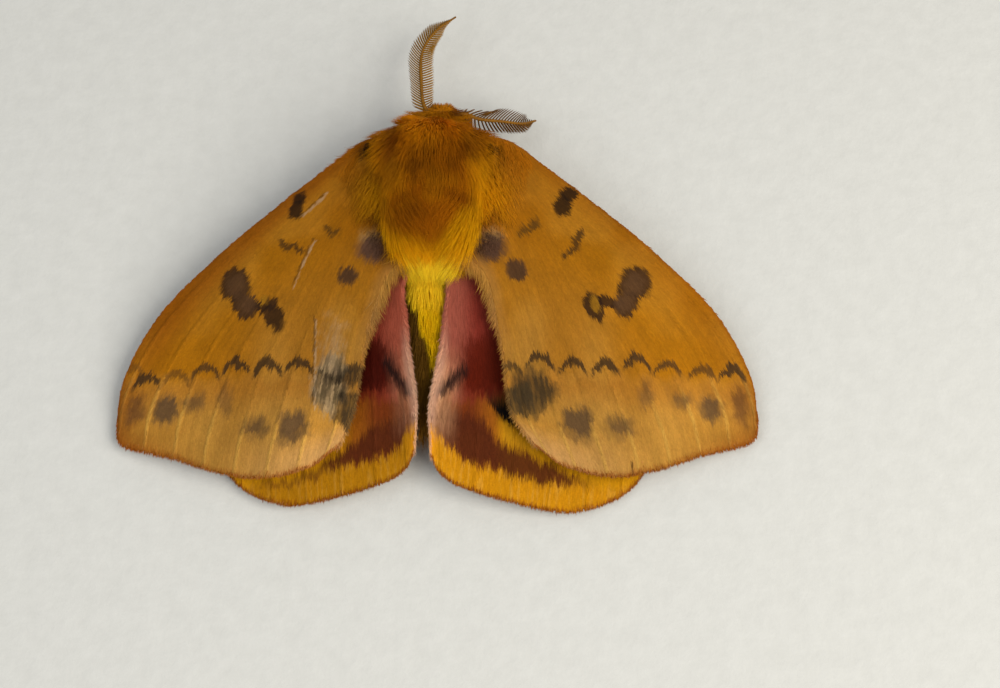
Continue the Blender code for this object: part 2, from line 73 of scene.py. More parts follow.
# Wing outlines seen from above, as distances out from the pair's axis and along Y. The turn is in
# degrees, spread and length are scales, and step is how far the plane lies under the root's height.
# A cell is its length as a share of the wing, and the numbers of the veins in front and behind.
WINGS = {
    "forewing": {
        "axis": 0.0,
        "root": (8.1, -0.9),
        "costa": ((5.4, 7.7), (8.0, 5.95), (11.35, 3.5), (16.75, -0.85), (21.15, -5.2),
                  (23.6, -9.7)),
        "apex": (24.1, -13.1),
        "outer": ((23.5, -14.8), (19.5, -16.1), (16.4, -17.2), (12.95, -17.8), (9.4, -17.1)),
        "tornus": (7.2, -15.6),
        "inner": {
            "left": ((3.6, -2.9), (4.8, -6.0), (5.5, -8.8), (6.2, -13.0)),
            "right": ((3.5, -2.7), (4.5, -6.2), (5.0, -8.8), (5.6, -13.1)),
        },
        "turn": {"left": 0.5, "right": -0.3},
        "spread": {"left": 0.99, "right": 0.99},
        "length": {"left": 1.0, "right": 1.0},
        "step": 0.0,
        "veins": 16,
        "cell": (6 / 14, 3, 11),
    },
    "hindwing": {
        "axis": -0.8,
        "root": (1.8, -1.0),
        "costa": ((9.0, -0.6), (14.0, -4.6), (16.6, -10.5)),
        "apex": (16.3, -15.2),
        "outer": ((15.1, -17.4), (13.1, -19.0), (10.1, -19.85), (6.4, -19.3), (3.0, -18.35),
                  (1.35, -17.4)),
        "tornus": (0.65, -16.1),
        "inner": {side: ((1.75, -3.4), (1.6, -6.0), (1.3, -9.0), (0.6, -12.9)) for side in SIDES},
        "turn": {"left": -0.1, "right": 0.4},
        "spread": {"left": 0.95, "right": 1.05},
        "length": {"left": 0.99, "right": 1.01},
        "step": 1.2,
        "veins": 14,
        "cell": (4 / 10, 3, 9),
    },
}
# Height of a wing's plane at its root, and how it falls outwards and towards the rear
ROOT_HEIGHT = 5.6
ROOT_OUT = 4
ROOT_Y = 5
FALL_OUT = 0.115
FALL_BACK = 0.11
# Rough length and width of a wing, which turn its unwrap into millimetres
WING_LENGTH = 26
WING_WIDTH = 22
VEIN_WIDTH = 0.13
RAY_CROWDING = 1.7
MEMBRANE = 0.16
MEMBRANE_CELLS = {"forewing": (150, 130), "hindwing": (110, 110)}
# Flat scales send back more light than round hair does, so their paint is this much deeper
SCALE_DEPTH = 0.74

# How many tufts or scales each coat has
UPPER_SCALES = {"forewing": 34000, "hindwing": 18000}
LOWER_SCALES = 7000
ROOT_HAIRS = 4200
HINGE_HAIRS = 160
THORAX_HAIRS = 17000
ABDOMEN_HAIRS = 11000
HEAD_HAIRS = 7000
LEG_HAIRS = 6000

CAMERA_PLACE = (4.8, -66.537, 148.349)
CAMERA_TILT = 22.0
CAMERA_LENS = 75.92
LIT_PLACE = (0, -3, 2)
# Half the floor's side, in metres
FLOOR_HALF = 0.6

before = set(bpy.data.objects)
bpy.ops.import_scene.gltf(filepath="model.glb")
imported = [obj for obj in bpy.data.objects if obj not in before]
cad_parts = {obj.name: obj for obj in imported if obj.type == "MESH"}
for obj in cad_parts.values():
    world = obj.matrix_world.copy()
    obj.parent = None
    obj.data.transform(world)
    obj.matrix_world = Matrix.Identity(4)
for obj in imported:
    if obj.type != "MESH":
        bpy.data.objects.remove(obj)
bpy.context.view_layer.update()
chance = np.random.default_rng(SEED)


def linear(code):
    """An sRGB hex colour as linear red, green and blue."""
    values = np.array([int(code[i : i + 2], 16) for i in (1, 3, 5)]) / 255
    return np.where(values <= 0.04045, values / 12.92, ((values + 0.055) / 1.055) ** 2.4)


def unit(vectors):
    """Vectors scaled to length one, row by row."""
    return vectors / np.maximum(np.linalg.norm(vectors, axis=-1, keepdims=True), 1e-9)


def step(low, high, values):
    """Rises smoothly from 0 at low to 1 at high, or falls where high is the smaller."""
    t = np.clip((values - low) / (high - low), 0, 1)
    return t * t * (3 - 2 * t)


def grain(places, size, seed=0):
    """Smooth random values from 0 to 1 over places, with lumps of a size in millimetres."""
    scaled = np.asarray(places, float) / size + seed * 7.31
    low = np.floor(scaled).astype(np.int64)
    part = scaled - low
    part = part * part * (3 - 2 * part)
    total = np.zeros(len(scaled))
    primes = np.array((73856093, 19349663, 83492791), np.int64)[: scaled.shape[1]]
    for corner in itertools.product((0, 1), repeat=scaled.shape[1]):
        weight = np.prod(np.where(np.array(corner), part, 1 - part), axis=1)
        mixed = np.bitwise_xor.reduce((low + np.array(corner)) * primes, axis=1) + seed * 2654435761
        mixed = (mixed ^ (mixed >> 13)) * 1274126177 & 0xFFFFFFFF
        mixed = (mixed ^ (mixed >> 16)) * 2246822519 & 0xFFFFFFFF
        total += weight * ((mixed ^ (mixed >> 15)) & 0xFFFF) / 0xFFFF
    return total


def over(paint, *layers):
    """Paint with colours laid over it in turn, each as strongly as its share says at each place."""
    for colour, share in layers:
        share = np.clip(share, 0, 1)[:, None]
        paint = paint * (1 - share) + linear(colour) * share
    return paint


def ground(code, count):
    """A plain coat of one colour to paint over."""
    return np.tile(linear(code), (count, 1))


def smooth_line(points, count):
    """Evenly spaced points along a smooth curve through the given ones."""
    points = np.array(points, float)
    guides = np.vstack([2 * points[0] - points[1], points, 2 * points[-1] - points[-2]])
    t = np.linspace(0, 1, 24, endpoint=False)[:, None]
    fine = []
    for before, start, end, after in zip(guides, guides[1:], guides[2:], guides[3:]):
        piece = start * (2 * t**3 - 3 * t**2 + 1) + end * (3 * t**2 - 2 * t**3)
        piece += (end - before) / 2 * (t**3 - 2 * t**2 + t) + (after - start) / 2 * (t**3 - t**2)
        fine.append(piece)
    fine = np.vstack([*fine, points[-1:]])
    lengths = np.r_[0, np.cumsum(np.linalg.norm(np.diff(fine, axis=0), axis=1))]
    wanted = np.linspace(0, lengths[-1], count)
    return np.stack([np.interp(wanted, lengths, fine[:, axis]) for axis in range(fine.shape[1])], 1)


def along_line(line, share):
    """Points at shares of a line's length, from evenly spaced points on it."""
    steps = np.linspace(0, 1, len(line))
    return np.stack([np.interp(share, steps, line[:, axis]) for axis in range(line.shape[1])], 1)


def thorax_section(along):
    """Share of the thorax's full width and height at a share of its half-length."""
    power = np.where(along > 0, THORAX_BLUNT_FRONT, THORAX_BLUNT_REAR)
    return np.sqrt(np.clip(1 - np.abs(along) ** power, 0, 1))


def wing_plane(shape, out, y):
    """Height of a wing's plane, before its own bends."""
    height = ROOT_HEIGHT - shape["step"]
    return height - FALL_OUT * (out - ROOT_OUT) - FALL_BACK * (ROOT_Y - y)


def hindwing_crest(out, y):
    """How far the hindwing's inner part rises beside the abdomen."""
    return np.exp(-((out / 1.9) ** 2)) * np.clip((y + 17.5) / 4, 0, 1)


class Wing:
    """A wing's surface over its unwrap: u runs from root to outer margin, v from front to back."""

    def __init__(self, kind, side):
        self.kind = kind
        self.side = side
        self.shape = WINGS[kind]
        shape = self.shape
        first, last = shape["root"]
        beside = SIDES[side] * (THORAX_CENTRE[0] - shape["axis"])
        angle = math.radians(-shape["turn"][side])
        turn = np.array(((math.cos(angle), -math.sin(angle)), (math.sin(angle), math.cos(angle))))

        def root_points(y, reach):
            section = thorax_section((y - THORAX_CENTRE[1]) / THORAX_RADII[1])
            return np.stack([THORAX_RADII[0] * section + reach + beside, y], 1)

        pivot = root_points(np.array([first]), 0.45)[0]

        def placed(*points):
            scale = np.array((shape["spread"][side], shape["length"][side]))
            base = np.array((1, shape["length"][side]))
            return (np.array(points) * scale - pivot * base) @ turn.T + pivot

        stations = first + (last - first) * np.linspace(0, 1, 60) ** RAY_CROWDING
        self.root = root_points(stations, ROOT_REACH)
        self.costa = smooth_line([self.root[0], *placed(*shape["costa"], shape["apex"])], 300)
        self.inner = smooth_line(
            [self.root[-1], *placed(*shape["inner"][side], shape["tornus"])], 300
        )
        self.outer = smooth_line(placed(shape["apex"], *shape["outer"], shape["tornus"]), 300)

    def place(self, u, v):
        """Distance out from the axis, and Y, of places on the unwrap."""
        across, along = v[:, None], u[:, None]
        edges = along_line(self.costa, u) * (1 - across) + along_line(self.inner, u) * across
        ends = along_line(self.root, v) * (1 - along) + along_line(self.outer, v) * along
        near = self.root[0] * (1 - across) + self.root[-1] * across
        far = self.outer[0] * (1 - across) + self.outer[-1] * across
        return edges + ends - near * (1 - along) - far * along

    def vein(self, u, v):
        """How much of a vein there is, and the place between two veins, both from 0 to 1."""
        count = self.shape["veins"]
        closing, front, rear = self.shape["cell"]
        spacing = np.maximum(WING_LENGTH * u, 2.5) / count
        track = (v * count - 1) / 2
        nearest = np.round(track)
        away = np.abs(track - nearest) * 2 * spacing
        number = nearest * 2 + 1
        hidden = (number > front) & (number < rear) & (u < closing)
        inside = (number > 0) & (number < count) & ~hidden
        ray = np.exp(-((away / VEIN_WIDTH) ** 2)) * inside
        between = (v * count > front) & (v * count < rear)
        cross = 0.04 * np.exp(-((np.abs(u - closing) * WING_LENGTH / VEIN_WIDTH) ** 2)) * between
        return np.maximum(ray * step(0.35, 0.8, u), cross), np.abs(track - nearest) * 2

    def at(self, u, v, lift=0.0):
        """Points on the wing's middle surface, raised along Z by a lift."""
        place = self.place(u, v)
        out, y = place[:, 0], place[:, 1]
        height = wing_plane(self.shape, out, y)
        if self.kind == "forewing":
            # The tip droops
            height -= 0.5 * np.clip((out - 15) / 9, 0, None) ** 2
        else:
            height += hindwing_crest(out, y)
        # Veins stand up, the membrane sways over a few millimetres and sags between two veins
        vein, between = self.vein(u, v)
        height += 0.06 * vein
        height += 0.10 * (grain(place, 3.2, 5) - 0.5) * step(0, 0.3, u)
        height += 0.03 * np.cos(math.pi * between) * step(0.3, 0.8, u)
        x = self.shape["axis"] + SIDES[self.side] * out
        return np.stack([x, y, height + lift], 1)

    def directions(self, u, v):
        """The ways along a wing's rays, across them and up from the wing, at places on it."""
        small = 0.004
        ahead = self.at(np.minimum(u + small, 1), v) - self.at(np.maximum(u - small, 0), v)
        aside = self.at(u, np.minimum(v + small, 1)) - self.at(u, np.maximum(v - small, 0))
        ahead = unit(ahead)
        up = unit(np.cross(ahead, aside))
        up *= np.sign(up[:, 2:3])
        return ahead, unit(aside), up

    def scattered(self, count):
        """Random places on the unwrap, as dense on the small root as on the wide margin."""
        u, v = chance.random(count * 4), chance.random(count * 4)
        small = 0.01
        here = self.place(u, v)
        ahead = self.place(np.minimum(u + small, 1), v) - here
        aside = self.place(u, np.minimum(v + small, 1)) - here
        area = np.abs(ahead[:, 0] * aside[:, 1] - ahead[:, 1] * aside[:, 0])
        kept = chance.random(count * 4) < area / np.percentile(area, 99)
        return u[kept][:count], v[kept][:count]


def blob(place, centre, radii, turn=0.0, edge=0.3, rough=0.3, seed=1):
    """Share of an oval mark with a soft, ragged edge at each place."""
    angle = math.radians(turn)
    offset = place - np.array(centre)
    x = offset[:, 0] * math.cos(angle) + offset[:, 1] * math.sin(angle)
    y = -offset[:, 0] * math.sin(angle) + offset[:, 1] * math.cos(angle)
    distance = np.hypot(x / radii[0], y / radii[1])
    ragged = rough * (grain(place, 0.35, seed) - 0.5)
    distance += ragged + rough * (grain(place, 0.9, seed + 3) - 0.5)
    return step(1 + edge, 1 - edge, distance)


def stroke(place, points, width, edge=0.5, rough=0.3, seed=1):
    """Share of a soft line through points at each place."""
    nearest = np.full(len(place), 1e9)
    for start, end in zip(np.array(points, float), np.array(points[1:], float)):
        run = end - start
        share = np.clip((place - start) @ run / (run @ run), 0, 1)
        nearest = np.minimum(nearest, np.linalg.norm(place - start - share[:, None] * run, axis=1))
    distance = nearest / (width / 2) + rough * 2 * (grain(place, 0.3, seed) - 0.5)
    return step(1 + edge, 1 - edge, distance)


def streaks(u, v, fine, seed):
    """Long narrow lumps that run along the wing's rays."""
    lined = np.stack([u * WING_LENGTH / (fine * 9), v * WING_WIDTH / fine], 1)
    return grain(lined, 1.0, seed)


# Forewing marks: places out from the axis and along Y, with half sizes
FORE_MARKS = {
    "left": {
        "bar": (((10.2, 3.4), (0.52, 0.6), 0), ((10.42, 2.45), (0.5, 0.75), 15)),
        "zigzag": (((11.5, 0.15), (11.0, -0.5), (10.6, -0.2), (9.95, -0.8)), 0.42),
        "faint": (((8.1, 1.0), (7.7, 0.6), (7.3, 0.7)), 0.45),
        "near": ((4.5, -0.7), (1.25, 1.1), 0),
        "second": ((6.45, -2.75), (0.72, 0.7), 0),
        "discal": (((14.9, -3.15), (1.1, 1.35), 10), ((14.05, -4.65), (1.05, 1.05), 0),
                   ((12.0, -5.5), (0.85, 1.2), -20), ((12.95, -4.9), (1.0, 0.42), 12)),
        "yellow": ((12.75, -4.3), (0.3, 0.3), 0),
        "arches": ((22.75, -9.2, 0.5), (21.45, -10.05, 1.0), (19.2, -10.0, 0.6), (16.95, -9.6, 0.9),
                   (14.7, -9.35, 1.0), (12.3, -9.45, 1.0), (10.0, -9.45, 1.0), (7.7, -9.9, 0.7),
                   (5.95, -10.15, 1.0)),
        "spots": ((22.2, -12.45, 0.8, 0.9, 0.95), (19.95, -12.5, 0.8, 0.9, 1.05),
                  (17.7, -12.0, 0.85, 0.6, 0.8), (15.5, -11.9, 0.5, 1.0, 0.55),
                  (13.1, -14.15, 0.95, 0.75, 0.95), (10.35, -14.2, 1.05, 0.95, 1.05)),
        "smudge": (((7.7, -11.0), (1.2, 2.2), 8), ((6.3, -12.8), (0.95, 1.5), 0),
                   ((6.6, -10.5), (1.5, 0.6), 0)),
        "light_and_dark_lines": (((8.1, 3.75), (8.9, 3.0), (9.9, 2.1)), ((9.0, 0.1), (9.8, -1.6), (10.45, -3.4)),
                 ((8.8, -6.0), (8.75, -12.8))),
    },
    "right": {
        "bar": (((9.9, 3.7), (0.72, 0.62), -20), ((9.45, 2.75), (0.68, 0.8), -10)),
        "zigzag": (((10.75, 0.75), (10.3, 0.2), (10.55, -0.3), (9.6, -1.05)), 0.45),
        "faint": (((7.3, 1.5), (7.0, 0.9), (6.3, 0.6)), 0.55),
        "near": ((3.75, -0.6), (1.3, 1.15), 0),
        "second": ((6.0, -2.3), (0.75, 0.85), 0),
        "discal": (((14.8, -3.0), (1.2, 1.3), 0), ((14.0, -4.6), (1.0, 1.0), 0),
                   ((11.7, -4.9), (0.75, 1.3), 20), ((12.9, -4.55), (1.0, 0.45), -10)),
        "yellow": ((11.85, -4.75), (0.3, 0.75), 20),
        "arches": ((22.05, -9.45, 1.0), (19.75, -9.6, 0.8), (17.15, -9.3, 0.9), (14.9, -9.0, 1.0),
                   (12.55, -9.5, 1.0), (10.1, -9.45, 1.0), (7.7, -9.15, 1.0), (5.45, -10.0, 0.9)),
        "spots": ((22.6, -12.1, 0.6, 1.2, 0.9), (20.4, -12.3, 0.7, 0.8, 1.0),
                  (18.15, -11.75, 0.75, 0.6, 0.75), (15.6, -11.5, 0.5, 0.85, 0.6),
                  (13.5, -14.1, 0.95, 0.8, 0.9), (10.5, -13.95, 1.1, 0.95, 1.05)),
        "smudge": (((7.3, -11.6), (1.6, 1.6), 0), ((6.2, -12.2), (1.1, 1.3), 0)),
        "light_and_dark_lines": (((14.4, -16.6), (14.45, -17.3)),),
    },
}


# The dark hinge spot on the front of the forewing's root
HINGES = {"left": (5.15, 6.86), "right": (4.0, 6.86)}
HINGE_BROWN = "#20140A"


def paint_forewing(wing, u, v):
    """The forewing's upper side: ochre with tan bloom, brushed grey-brown marks and pale veins."""
    place = wing.place(u, v)
    out, y = place[:, 0], place[:, 1]
    marks = FORE_MARKS[wing.side]
    left = wing.side == "left"
    soft = grain(place, 2.6, 11)
    fine = streaks(u, v, 0.16, 3)
    speck = grain(place, 0.22, 9)
    shift = 0.4 * (streaks(u, v, 0.16, 33) - 0.5) + 0.35 * (grain(place, 0.45, 34) - 0.5)
    brushed = place + np.stack([0.15 * (speck - 0.5), shift], 1)
    beyond = step(-9.6, -11.2, y + 0.25 * np.sin(out * 2.7))
    vein, _ = wing.vein(u, v)
    # The front edge near the root is darker: partly the wing's own tone and partly painted shade,
    # deeper on the left wing.
    costa_tone_and_shade = step(0.22, 0.05, v) * step(0.95, 0.7, u) * step(0.03, 0.1, u)
    apex = blob(place, (23.4, -12.6), (1.7, 2.8), 0, 0.7, 0.4, 17)
    layers = [
        ("#B87A1C", step(0.35, 0.8, soft) * 0.8),
        ("#935503", step(0.45, 0.05, u) * 0.6),
        ("#B08038", step(0.3, 0.7, v) * step(0.25, 0.6, u) * (0.2 + 0.35 * soft)),
        ("#BE8B3C", beyond * (0.45 + 0.3 * soft)),
        ("#A3610D", beyond * step(-13.6, -10.4, y) * 0.6),
        ("#C7955A", beyond * step(0.84, 0.97, u) * step(0.45, 0.95, v) * 0.7),
        ("#D8A548", vein * step(0.8, 0.9, u) * 0.5),
        # Darker front edge and darker apex: the wing's own tones, with painted shade that makes
        # both deeper on the left wing.
        ("#8A4A03", costa_tone_and_shade * (0.8 if left else 0.35)),
        ("#8E5212", apex * (0.7 if left else 0.4)),
    ]

    def mark(colour, entry, strength, seed, edge=0.22, rough=0.25):
        layers.append((colour, strength * blob(brushed, *entry, edge, rough, seed)))

    for number, entry in enumerate(marks["bar"]):
        mark("#24160A", entry, 0.92, 2 + number)
    layers += [
        ("#432C12", 0.85 * stroke(brushed, *marks["zigzag"], 0.6, 0.5, seed=4)),
        ("#503612", 0.8 * stroke(brushed, *marks["faint"], 0.7, 0.5, seed=5)),
    ]
    (x, top), (wide, tall), _ = marks["near"]
    mark("#C59A5C", ((x, top + 1.0), (wide * 0.8, 0.55), 0), 0.7, 14, 0.6, 0.4)
    mark("#5A4034" if left else "#4C362C", marks["near"], 0.92, 6, 0.5)
    mark("#463022", marks["second"], 0.9, 7, 0.3)
    for number, entry in enumerate(marks["discal"]):
        mark("#311E10", entry, 0.92, 20 + number, 0.15)
    for number, (centre, (wide, tall), turn) in enumerate(marks["discal"][:2]):
        mark("#5E4026", (centre, (wide * 0.72, tall * 0.72), turn), 0.75, 25 + number, 0.5)
    mark("#9A6A16", marks["yellow"], 0.85, 28, 0.4)
    for x, top, strength in marks["arches"]:
        off = (out - x) / 1.1
        line = top + 0.25 - 0.85 * np.abs(off) ** 2.1
        thick = 0.4 - 0.16 * np.minimum(np.abs(off), 1)
        arch = step(1.35, 0.6, np.abs(brushed[:, 1] - line) / thick) * step(1.12, 0.8, np.abs(off))
        layers.append(("#3B2A19", 0.9 * strength * arch))
    for number, (x, top, wide, tall, strength) in enumerate(marks["spots"]):
        entry = ((x, top), (wide * 1.15, tall * 1.15), 0)
        mark("#6B4422" if number == 0 else "#56402B", entry, strength * 0.85, 60 + number, 0.5, 0.5)
    rough = step(0.35, 0.65, 0.7 * streaks(u, v, 0.18, 81) + 0.3 * grain(place, 0.4, 82))
    for number, entry in enumerate(marks["smudge"]):
        share = blob(brushed, *entry, 0.3, 0.35, 70 + number)
        if left and number == 0:
            layers += [("#AE926A", 0.85 * share), ("#42351F", share * (0.05 + 0.7 * rough))]
        else:
            layers.append(("#35291A" if left else "#43341F", share * (0.75 + 0.2 * rough)))
    if left:
        pale = blob(place, (7.5, -8.0), (0.7, 1.5), 0, 0.9, 0.9, 88)
        layers.append(("#BC9C74", pale * (0.1 + 0.45 * streaks(u, v, 0.18, 89))))
    # Lines across the wing: on the left each is a fold with a painted highlight along it and a
    # painted shadow beside it; on the right one dark line runs in to the outer margin.
    for number, points in enumerate(marks["light_and_dark_lines"]):
        share = stroke(place, points, 0.12, 0.8, 1.2, 90 + number)
        beside = stroke(place - 0.12, points, 0.12, 0.8, 1.2, 95 + number)
        layers += [
            ("#BFA480" if left else "#3A1A08", (0.5 if left else 0.8) * share),
            ("#4E3212", 0.6 * beside * left),
        ]
    margin = step(0.982, 1.0, u + 0.003 * grain(place, 0.4, 15))
    layers += [
        ("#8E4E10", step(0.945, 1.0, u) * step(0.55, 0.15, v) * 0.55),
        ("#8A450A", margin * 0.75),
        ("#7B3B06", step(0.9, 1.0, u) * step(0.1, 0.0, v) * 0.85),
        ("#8B4B06", step(0.035, 0.0, v) * 0.6),
        ("#A67B42", step(0.93, 0.995, v) * step(0.75, 0.3, u) * 0.4),
        (HINGE_BROWN, 0.95 * blob(place, HINGES[wing.side], (0.26, 0.52), 12, 0.3, 0.1, 99)),
    ]
    # Painted light and shade: parts of each forewing are painted lighter or darker as the light
    # falls on them, and the left wing darker overall than the right.
    if left:
        painted_light_and_shade = 0.97 + 0.2 * step(0.55, 0.75, u) * step(0.5, 0.2, v)
        painted_light_and_shade += 0.42 * step(0.6, 0.85, v) * step(0.7, 0.85, u)
    else:
        painted_light_and_shade = 1.03 + 0.2 * step(0.45, 0.65, u) * step(0.7, 0.3, v)
        painted_light_and_shade += 0.14 * step(0.7, 0.9, v) * step(0.75, 0.88, u)
    bright = 0.77 + 0.16 * fine + 0.14 * streaks(u, v, 0.45, 41)
    bright = bright + 0.14 * grain(place, 0.9, 42) + 0.05 * (speck - 0.5)
    return over(ground("#A66807", len(place)), *layers) * painted_light_and_shade[:, None] * bright[:, None]


# Hindwing marks: the band's upper and lower edge, a dark crescent, and the darkest red patch, which
# is partly painted shadow of the forewing's rear edge
HIND_MARKS = {
    "left": {
        "band_top": ((0.9, -13.6), (1.5, -13.7), (3.6, -14.0), (5.05, -15.05), (6.3, -16.0),
                     (7.5, -16.95), (9.5, -17.9)),
        "band_low": ((0.9, -14.2), (1.2, -14.4), (1.7, -15.45), (2.6, -16.05), (4.15, -16.35),
                     (5.5, -16.7), (7.0, -17.15), (9.5, -18.1)),
        "crescent": (((2.7, -8.9), (2.05, -10.2), (1.2, -11.6)), 0.75),
        "oxblood_and_shadow": ((3.9, -9.3), (1.7, 2.5), 0),
    },
    "right": {
        "band_top": ((1.2, -12.9), (2.05, -12.9), (4.3, -13.6), (5.45, -15.0), (7.5, -15.9),
                     (9.3, -16.6), (10.8, -17.4), (12.0, -17.9)),
        "band_low": ((1.0, -14.6), (1.65, -15.3), (3.4, -16.6), (5.3, -16.9), (6.3, -17.5),
                     (8.5, -17.95), (10.0, -18.15), (11.1, -17.9), (12.0, -18.0)),
        "crescent": (((1.3, -11.5), (1.65, -11.1), (2.35, -10.2), (2.9, -9.6)), 0.75),
        "oxblood_and_shadow": ((4.2, -9.2), (1.75, 2.7), 0),
    },
}
# Middle and radius of the eyespot, which lies mostly under the forewing
EYESPOT = {"left": (8.9, -9.6), "right": (8.7, -9.8)}
EYESPOT_RADIUS = 4.6
# Width of the eyespot's black ring, in the units that its inner rings are given in
EYESPOT_RINGS = 3.75


def paint_hindwing(wing, u, v):
    """The hindwing's upper side: pink and oxblood, an eyespot, a maroon band and a gold border."""
    place = wing.place(u, v)
    out, y = place[:, 0], place[:, 1]
    marks = HIND_MARKS[wing.side]
    right = wing.side == "right"
    fine = streaks(u, v, 0.2, 13)
    ragged = 0.6 * streaks(u, v, 0.2, 17) + 0.4 * streaks(u, v, 0.5, 18)
    wander = ragged - 0.5
    spot = EYESPOT[wing.side]
    ring = np.hypot(out - spot[0], y - spot[1]) * EYESPOT_RINGS / EYESPOT_RADIUS
    inner = step(2.4, 2.1, ring)
    black = step(3.8, 3.5, ring) * step(2.1, 2.4, ring)
    red = step(-12.5, -10.6, y + 1.2 * (ragged - 0.5)) * step(8.5, 6.5, out)
    rose = red * step(2.0, 1.0, out) * (0.1 + (0.45 if right else 0.25) * fine)
    dark_red_and_shadow = red * blob(place, *marks["oxblood_and_shadow"], 0.45, 0.3, 5)
    top = np.interp(out, *np.array(marks["band_top"]).T)
    low = np.interp(out, *np.array(marks["band_low"]).T)
    gold = step(0.35, -0.4, y - low + wander) * step(0.5, 0.75, u)
    band = step(0.75, -0.35, y - top + wander) * step(-0.4, 0.35, y - low + wander)
    band *= step(13.5, 11.0, out)
    peach = step(0.84, 0.97, v) * step(0.9, 0.76, u) * step(0.4, 0.65, u)
    paint = over(
        ground("#9C5710", len(place)),
        ("#702F0E", step(-15.2, -13.0, y) * step(5.2, 3.4, out) * 0.95),
        ("#C98A08", step(-11.0, -13.2, y) * step(5.0, 6.4, out)),
        ("#C68A12", step(4.9, 4.4, ring) * step(5.2, 6.4, out)),
        ("#8E3426" if right else "#882E1E", red),
        ("#9C5240" if right else "#AE563E", red * step(4.0, 2.2, out) * 0.85),
        ("#C88468" if right else "#B45A40", rose),
        # The hindwing's own red, deepened by painted shadow just under the forewing's rear edge and
        # in the dark patch, most on the left wing.
        ("#6B1E08", red * step(-8.0, -9.8, y) * step(1.8, 3.0, out) * 0.8),
        ("#561402" if right else "#420C02", dark_red_and_shadow * (0.9 if right else 1)),
        ("#0D0907", black * (0.1 + 0.9 * step(-10.6, -12.4, y))),
        ("#1D2C3E", inner),
        ("#5B7083", inner * step(1.9, 1.2, ring) * 0.9),
        ("#0F0B0B", step(1.25, 1.1, ring)),
        ("#E9E6E2", step(0.42, 0.3, ring + 0.2 * (grain(place, 0.3, 8) - 0.5))),
        ("#B27606", gold),
        ("#BE8E38", gold * step(0.55, 0.85, fine) * 0.3),
        ("#52210C", band * 0.95),
        ("#C98310", step(0.93, 0.99, v) * step(-13.5, -14.5, y) * 0.85),
        ("#CC9468" if right else "#C08560", peach * ((0.55 if right else 0.35) + 0.45 * fine)),
        ("#21110E", 0.95 * stroke(place, *marks["crescent"], 0.9, 0.4, 6)),
        ("#C8987C", step(0.94, 1.0, v) * step(0.92, 0.8, u) * step(0.3, 0.6, u) * 0.7),
        ("#7B3F08", step(0.983, 0.997, u) * 0.9),
    )
    # Painted light: the gold border is painted lighter on the right hindwing, where the light falls
    # from the right.
    bright = 1.1 + 0.12 * fine + (0.38 if right else -0.05) * gold
    return paint * bright[:, None]


def paint_underside(wing, u, v):
    """The undersides: ochre and rust, with the forewing's dark ocellus and a rust line."""
    place = wing.place(u, v)
    out, y = place[:, 0], place[:, 1]
    fine = streaks(u, v, 0.2, 23)
    line = step(1.0, 0.4, np.abs(u - 0.74 - 0.03 * np.sin(v * 9)) * WING_LENGTH / 0.5)
    layers = [("#A0561A", step(0.7, 0.2, u) * 0.5), ("#8A4314", line * 0.8)]
    if wing.kind == "forewing":
        ring = np.hypot(out - 13.6, y + 4.2)
        layers += [
            ("#B0465A", step(6.0, 2.5, out - 6) * step(0.55, 0.9, v) * 0.5),
            ("#1C1210", step(1.7, 1.4, ring)),
            ("#E9E6E2", step(0.4, 0.25, ring)),
        ]
    else:
        ring = np.hypot(out - 8.4, y + 10.8)
        layers.append(("#E4D9C8", step(0.5, 0.3, ring)))
    layers.append(("#7B3F08", step(0.983, 0.997, u) * 0.8))
    return over(ground("#B67A24", len(place)), *layers) * (0.84 + 0.32 * fine)[:, None]


